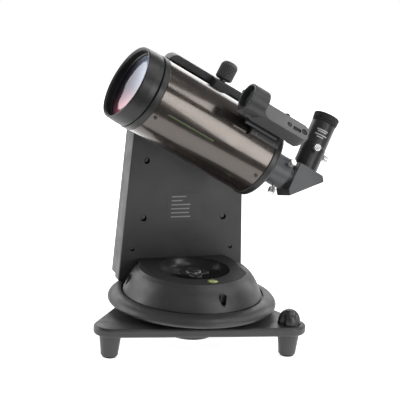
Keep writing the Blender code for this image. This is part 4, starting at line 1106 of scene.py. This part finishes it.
def build_finder():
    spread = radians(21)
    low = 0.0513
    section = (arc((0, 0), low, spread, -spread, 24)
               + [(low + 0.0024, -0.0200), (0.0575, -0.0130), (0.0575, 0.0130), (low + 0.0024, 0.0200)])
    cuts = [(prism(box_line(0.004, 0.0085, (0.0590, 0.0)), -0.072, -0.034), FINDER)]
    make("finder_bracket_skin", prism(section, -0.0758, -0.0310), FINDER, BLACK, "tube",
         ["finder_bracket"], edge=0.0007, cuts=cuts)
    for side in (-1, 1):
        for u in (-0.0680, -0.0390):
            place = FINDER @ shift((0.0552, side * 0.0163, u)) @ spin(pi / 2, "Y")
            place = place @ spin(-side * radians(28), "X")
            pan_screw(f"bracket_screw_{'l' if side < 0 else 'r'}_{round(-u * 1000)}", place, 0.0021, 0.0012,
                      "tube")
    build_finder_arm()
    build_finder_hood()
    build_finder_controls()


FINDER_TOP = 0.0836
FINDER_LOW = 0.0655


def finder_cross(u, y=0.0):
    """Frame across the finder at u along the tube; Z points away from the tube and is 0 on its axis."""
    return FINDER @ shift((0, y, u)) @ spin(pi / 2, "Y")


def build_finder_arm():
    """Long arm with a flat face let into its top, a chin at the rear, and the rail below."""
    top = FINDER_TOP
    low = FINDER_LOW
    side = [(low, -0.0190), (low, -0.0770, 0.002), (low - 0.0013, -0.0800, 0.001),
            (low - 0.0013, -0.0920, 0.003),
            (0.0740, -0.1000, 0.003), (top, -0.1000, 0.0005), (top, -0.0190)]
    plan = [(-0.0126, -0.0190), (-0.0126, -0.1000, 0.009), (0.0126, -0.1000, 0.009), (0.0126, -0.0190)]
    lay = FINDER @ Matrix(((0, 0, 1, 0), (1, 0, 0, 0), (0, 1, 0, 0), (0, 0, 0, 1)))
    slot = round_corners([(a, b, 0.0014) for a, b in box_line(0.0026, 0.0060, (-0.0018, -0.0815))], 5)
    cuts = [(cylinder(0.0043, 0.0803, 0.09), finder_cross(-0.0935, 0.001)),
            (cylinder(0.0018, 0.0047, 0.02, 24), joint_frame("finder_adjuster_side_turn")),
            (cylinder(0.0036, top - 0.0006, 0.09), finder_cross(-0.0690, -0.001)),
            (prism(slot, top - 0.0014, 0.09), lay)]
    make("finder_arm", prism(soften(side, 0.0, 5, closed=True), -0.0126, 0.0126, "XZ"), FINDER, BLACK,
         "tube",
         ["finder_body"], edge=0.0006, cuts=cuts,
         keeps=[(prism(soften(plan, 0.0, 8, closed=True), 0.05, 0.10), lay)])
    build_finder_face(lay)
    slider = prism(box_line(0.0018, 0.0022, (-0.0018, -0.0790)), top - 0.0020, top + 0.0003)
    make("finder_slider", slider, lay, DEEP_BLACK_AND_PAINTED_SHADE, "tube", edge=0.0003, steps=2)
    pan_screw("finder_top_screw", finder_cross(-0.0690, -0.001) @ shift((0, 0, top - 0.0006)),
              0.0022, 0.0009, "tube")
    neck = prism(box_line(0.0035, 0.0085, (0.0645, 0)), -0.0640, -0.0200)
    rail = prism(box_line(0.0020, 0.0145, (0.0608, 0)), -0.0670, -0.0170)
    make("finder_rail", joined((rail, WORLD), (neck, WORLD)), FINDER, BLACK, "tube",
         edge=0.0006)


def build_finder_face(lay):
    """Lighter, grained face on top of the arm, rounded at both ends."""
    top = FINDER_TOP
    line = [(-0.0119, -0.0300, 0.010), (-0.0119, -0.0993, 0.0085), (0.0119, -0.0993, 0.0085),
            (0.0119, -0.0300, 0.010)]
    step = [(a, b, 0.0014) for a, b in box_line(0.0030, 0.0064, (-0.0018, -0.0815))]
    cuts = [(cylinder(0.0045, 0.0803, 0.09), finder_cross(-0.0935, 0.001)),
            (cylinder(0.0036, top - 0.0008, 0.09), finder_cross(-0.0690, -0.001)),
            (prism(round_corners(step, 5), top - 0.0010, 0.09), lay)]
    make("finder_face", prism(soften(line, 0.0, 10, closed=True), top - 0.0008, top + 0.0003), lay,
         PALE_GREY,
         "tube", edge=0.0002, steps=2, cuts=cuts)


def build_finder_hood():
    """Short round hood with a flared foot, and its glass."""
    centre = 0.0875
    front = 0.0030
    back = -0.0215
    outer = arc((centre, 0), 0.018, radians(128), radians(-128), 64)
    line = outer + [(0.0730, -0.0122), (0.0665, -0.0125), (0.0665, 0.0125), (0.0730, 0.0122)]
    axis = FINDER @ shift((centre, 0, 0))
    far = joint_frame("finder_adjuster_front_turn")
    corner = [(0.060, front + 0.01), (0.060, front - 0.0042), (0.0715, front + 0.0004),
              (0.0715, front + 0.01)]
    cuts = [(cylinder(0.0155, -0.0190, 0.02, 96), axis), (cylinder(0.0018, 0.0077, 0.02, 24), far),
            (prism(corner, -0.03, 0.03, "XZ"), FINDER)]
    make("finder_hood", prism(line, back, front), FINDER, BLACK, "tube", edge=0.0009,
         cuts=cuts)
    glass = soften([(0, -0.0060), (0.0147, -0.0060), (0.0147, -0.0045), (0, -0.0045)], 0.0002)
    make("finder_glass", lathe(glass, 72), axis, WINDOW, "tube", ["finder_window"])
    baffle = lathe([(0.0100, -0.0185), (0.0154, -0.0185), (0.0154, -0.0175), (0.0100, -0.0175)], 64,
                   closed=True)
    make("finder_baffle", baffle, axis, SMOOTH_BLACK, "tube")
    place = FINDER @ shift((0.0690, -0.0124, -0.0080)) @ spin(pi / 2, "X")
    pan_screw("finder_block_screw", place, 0.0017, 0.0009, "tube")


def build_finder_controls():
    top = FINDER_TOP + 0.0006
    line = [(0, top - 0.0036), (0.0040, top - 0.0036), (0.0040, top - 0.0006), (0.0034, top), (0.0030, top),
            (0.0027, top - 0.0005), (0, top - 0.0005)]
    place = finder_cross(-0.0935, 0.001)
    slot = (prism(box_line(0.0004, 0.0022), top - 0.0014, 0.09), place)
    make("finder_dial_skin", lathe(soften(line, 0.0002), 96, knurl(24, 0.0003)), place, SMOOTH_BLACK,
         "finder_dial", ["finder_dial"], cuts=[slot], crease=45)
    for name, tip, seat, length in (("finder_adjuster_front", 0.0080, 0.0165, 0.0050),
                                    ("finder_adjuster_side", 0.0050, 0.0132, 0.0034)):
        line = [(0, tip), (0.0015, tip), (0.0015, seat), (0.0036, seat), (0.0042, seat + 0.0006),
                (0.0042, seat + length - 0.0008), (0.0034, seat + length), (0, seat + length - 0.0002)]
        make(f"{name}_skin", lathe(soften(line, 0.0003, 3), 96, knurl(20, 0.0004)),
             joint_frame(f"{name}_turn"),
             SMOOTH_BLACK, name, [name], crease=45)


# ---------------------------------------------------------------- diagonal and eyepiece

def build_diagonal():
    nose = [(0.0132, 0.0180), (0.0157, 0.0180), (0.0157, 0.0330, 0.0002), (0.0154, 0.0334, 0.0002),
            (0.0154, 0.0350, 0.0002), (0.0157, 0.0354, 0.0002), (0.0157, 0.0466, 0.0004),
            (0.0152, 0.0470, 0.0002),
            (0.0134, 0.0470, 0.0002), (0.0132, 0.0466, 0.0002)]
    # The nose's satin black is partly painted shade: it stands for the shade in the gap between the collar and the
    # visual back.
    make("diagonal_nose_skin", lathe(soften(nose, 0.0, 3, closed=True), 96, closed=True), DIAGONAL, SATIN,
         "diagonal", ["diagonal_nose"], crease=30)
    side = [(0.0203, 0.0170), (-0.0188, 0.0178), (-0.0262, 0.0121), (0.0135, -0.0265), (0.0203, -0.0210)]
    inside = [(0.0180, 0.0145), (-0.0110, 0.0120), (-0.0130, 0.0056), (0.0125, -0.0177), (0.0180, -0.0140)]
    cuts = [(prism(inside, -0.0135, 0.0135, "XZ"), DIAGONAL),
            (cylinder(0.0160, 0.0080, 0.06, 72), EYEPIECE),
            (cylinder(0.0130, 0.0050, 0.03, 72), DIAGONAL)]
    make("diagonal_core", prism(soften(side, 0.0010, 4, closed=True), -0.0160, 0.0160, "XZ"), DIAGONAL,
         BLACK,
         "diagonal", ["diagonal_body"], edge=0.0006, cuts=cuts)
    plate = [(0.0201, 0.0167, 0.001), (-0.0186, 0.0175, 0.003), (-0.0258, 0.0120, 0.002),
             (0.0134, -0.0260, 0.002),
             (0.0201, -0.0207, 0.002)]
    for name, low, high in (("left", -0.0175, -0.0156), ("right", 0.0156, 0.0175)):
        make(f"diagonal_plate_{name}", prism(soften(plate, 0.0, 5, closed=True), low, high, "XZ"), DIAGONAL,
             SATIN_GREY, "diagonal", edge=0.0006)
    collar = [(0.0130, 0.0080), (0.0172, 0.0080), (0.0172, 0.0180, 0.0006), (0.0166, 0.0187, 0.0003),
              (0.0130, 0.0187)]
    make("nose_collar", lathe(soften(collar, 0.0, 4, closed=True), 96, closed=True), DIAGONAL, BLACK,
         "diagonal")
    build_holder()


def build_holder():
    line = [(0.0160, 0.0170), (0.0167, 0.0170), (0.0167, 0.0412, 0.0002), (0.0169, 0.0415, 0.0002),
            (0.0169, 0.0516, 0.0004), (0.0164, 0.0525, 0.0003), (0.0160, 0.0525)]
    cuts = []
    for name in ("holder_screw_a", "holder_screw_b"):
        cuts.append((cylinder(0.0023, 0.012, 0.03, 32), joint_frame(f"{name}_turn")))
    make("eyepiece_holder", lathe(soften(line, 0.0, 3, closed=True), 112, closed=True), EYEPIECE, SATIN,
         "diagonal", cuts=cuts, crease=30)
    for name in ("holder_screw_a", "holder_screw_b"):
        thumbscrew(f"{name}_skin", f"{name}_turn", 0.0160, 0.0169, name)


def build_eyepiece():
    barrel = [(0.0120, 0.0270), (0.0157, 0.0270, 0.0004), (0.0157, 0.0490), (0.0154, 0.0493),
              (0.0154, 0.0525),
              (0.0120, 0.0525)]
    make("eyepiece_barrel", lathe(soften(barrel, 0.0002, 3, closed=True), 96, closed=True), EYEPIECE,
         CHROME,
         "eyepiece", crease=30)
    low = 0.0528
    line = [(0.0120, 0.0500), (0.0155, 0.0500), (0.0155, low), (0.0160, low, 0.0002),
            (0.0164, low + 0.0006, 0.0004),
            (0.0164, 0.0856, 0.0004), (0.0158, 0.0866, 0.0003), (0.0150, 0.0866, 0.0),
            (0.0150, 0.0900, 0.0003),
            (0.0105, 0.0900, 0.0003), (0.0105, 0.0862), (0.0120, 0.0840)]
    make("eyepiece_skin", lathe(soften(line, 0.0, 3, closed=True), 112, closed=True), EYEPIECE,
         SMOOTH_BLACK,
         "eyepiece", ["eyepiece_body"], crease=30)
    build_eyepiece_print()
    cup = [(0.0153, 0.0869), (0.0166, 0.0869, 0.0004), (0.0169, 0.0888, 0.0003), (0.0162, 0.0894, 0.0003),
           (0.0162, 0.0900, 0.0003), (0.0172, 0.0908, 0.0004), (0.0176, 0.0972, 0.0006),
           (0.0168, 0.0982, 0.0006),
           (0.0120, 0.0950, 0.0006), (0.0120, 0.0904, 0.0003), (0.0153, 0.0903)]
    make("eyecup_skin", lathe(soften(cup, 0.0, 4, closed=True), 112, closed=True), EYEPIECE, RUBBER,
         "eyepiece",
         ["eyecup"], crease=35)
    lens = soften([(0, 0.0850), (0.0100, 0.0862), (0.0100, 0.0885), (0.0070, 0.0892), (0, 0.0896)], 0.002)
    make("eye_lens_skin", lathe(lens, 72), EYEPIECE, EYE_LENS, "eyepiece", ["eye_lens"])


def build_eyepiece_print():
    """Plain pale bars on the eyepiece, in place of its print."""
    parts = []
    toward = EYEPIECE.inverted().to_3x3() @ Vector((-0.33, -0.94, 0.0))
    middle = atan2(toward.y, toward.x)
    for u, half in ((0.0742, 28), (0.0716, 22), (0.0672, 30), (0.0640, 16)):
        bar = patch(0.0164, INK_THICKNESS, middle - radians(half), middle + radians(half), u - 0.0007,
                    u + 0.0007)
        parts.append((bar, WORLD))
    make("eyepiece_print", joined(*parts), EYEPIECE, PALE_INK, "eyepiece")


# ---------------------------------------------------------------- stage, light and camera

def build_stage():
    """Pale floor that glows a little, so that it reads as the white sweep it stands for."""
    look = Finish("floor_white", (0.80, 0.80, 0.80), 0.8, 0.0, Emission_Color=(1, 1, 1, 1),
                  Emission_Strength=0.86)
    look.roughened(look.noise(3, 2), 0.75, 0.85)
    sweep = raw(prism(box_line(1.6, 1.1, (0.0, 0.65)), FLOOR_Z - 0.004, FLOOR_Z - 0.0002), WORLD, "floor")
    sweep.data.materials.append(look.material)


def softbox(name, azimuth, elevation, distance, size, radiance):
    """Area light aimed at the tube; azimuth is counted from -Y towards +X."""
    lamp = bpy.data.lights.new(name, "AREA")
    lamp.shape = "RECTANGLE"
    lamp.size, lamp.size_y = size
    lamp.energy = radiance * size[0] * size[1] * pi
    thing = bpy.data.objects.new(name, lamp)
    a = radians(azimuth)
    e = radians(elevation)
    outwards = Vector((sin(a) * cos(e), -cos(a) * cos(e), sin(e)))
    thing.matrix_world = placed(TUBE_ORIGIN + outwards * distance, outwards, UP.cross(outwards))
    thing.visible_camera = False
    bpy.context.scene.collection.objects.link(thing)


def build_lights():
    softbox("key_box", 30, 2.5, 1.2, (0.47, 0.79), 4.0)
    softbox("side_box", 64, 30.5, 1.2, (0.55, 0.28), 3.2)
    softbox("top_box", 60, 62, 1.3, (1.0, 0.7), 2.4)
    softbox("left_box", -115, 10, 1.2, (0.6, 0.9), 3.6)
    softbox("right_box", 108, 12, 1.3, (0.5, 0.8), 3.0)
    softbox("front_box", 6, 29, 1.3, (0.30, 0.30), 3.2)
    softbox("back_sweep", 180, 17, 1.5, (3.2, 0.85), 2.0)
    world = bpy.data.worlds.new("studio")
    bpy.context.scene.world = world
    world.use_nodes = True
    nodes = world.node_tree.nodes
    links = world.node_tree.links
    shown = nodes["Background"]
    shown.inputs["Color"].default_value = (1, 1, 1, 1)
    shown.inputs["Strength"].default_value = 1.0
    ambient = nodes.new("ShaderNodeBackground")
    ambient.inputs["Color"].default_value = (1, 1, 1, 1)
    ambient.inputs["Strength"].default_value = 0.16
    rays = nodes.new("ShaderNodeLightPath")
    mix = nodes.new("ShaderNodeMixShader")
    links.new(rays.outputs["Is Camera Ray"], mix.inputs["Fac"])
    links.new(ambient.outputs["Background"], mix.inputs[1])
    links.new(shown.outputs["Background"], mix.inputs[2])
    links.new(mix.outputs["Shader"], nodes["World Output"].inputs["Surface"])


def build_camera():
    """Long lens, looking down a little from the left of the front and rolled slightly."""
    distance = 2.5
    middle = Vector((0, 0, 0.1785))
    a = radians(-19.4)
    e = radians(15.4)
    roll = radians(3.5)
    right = Vector((cos(a), sin(a), 0))
    up = Vector((-sin(a) * sin(e), cos(a) * sin(e), cos(e)))
    back = Vector((sin(a) * cos(e), -cos(a) * cos(e), sin(e)))
    aim = middle + right * 0.00305 + up * 0.00612
    lens = bpy.data.cameras.new("camera")
    lens.lens = 171.0
    lens.sensor_width = 36.0
    camera = bpy.data.objects.new("camera", lens)
    camera.matrix_world = placed(aim + back * distance, back, right * cos(roll) + up * sin(roll))
    bpy.context.scene.collection.objects.link(camera)
    bpy.context.scene.camera = camera


def finish_cad_nodes():
    """The inner CAD nodes that still show take the same finishes."""
    slots = {part["node"]: part["material_slot"] for part in frame["record"]["subparts"]}
    for name, node in frame["nodes"].items():
        finish = CAD_FINISHES.get(slots.get(name), BLACK)
        for slot in node.material_slots:
            slot.material = finish


finish_cad_nodes()
build_base()
build_feet()
for side_name in ("right", "rear"):
    build_levelling_knob(side_name)
build_disc()
build_housing()
build_top_panel()
build_star_knob()
build_arm()
build_saddle()
build_clamp()
build_tube()
build_rear()
build_finder()
build_diagonal()
build_eyepiece()
build_stage()
build_lights()
build_camera()
bpy.context.scene.view_settings.view_transform = "Standard"
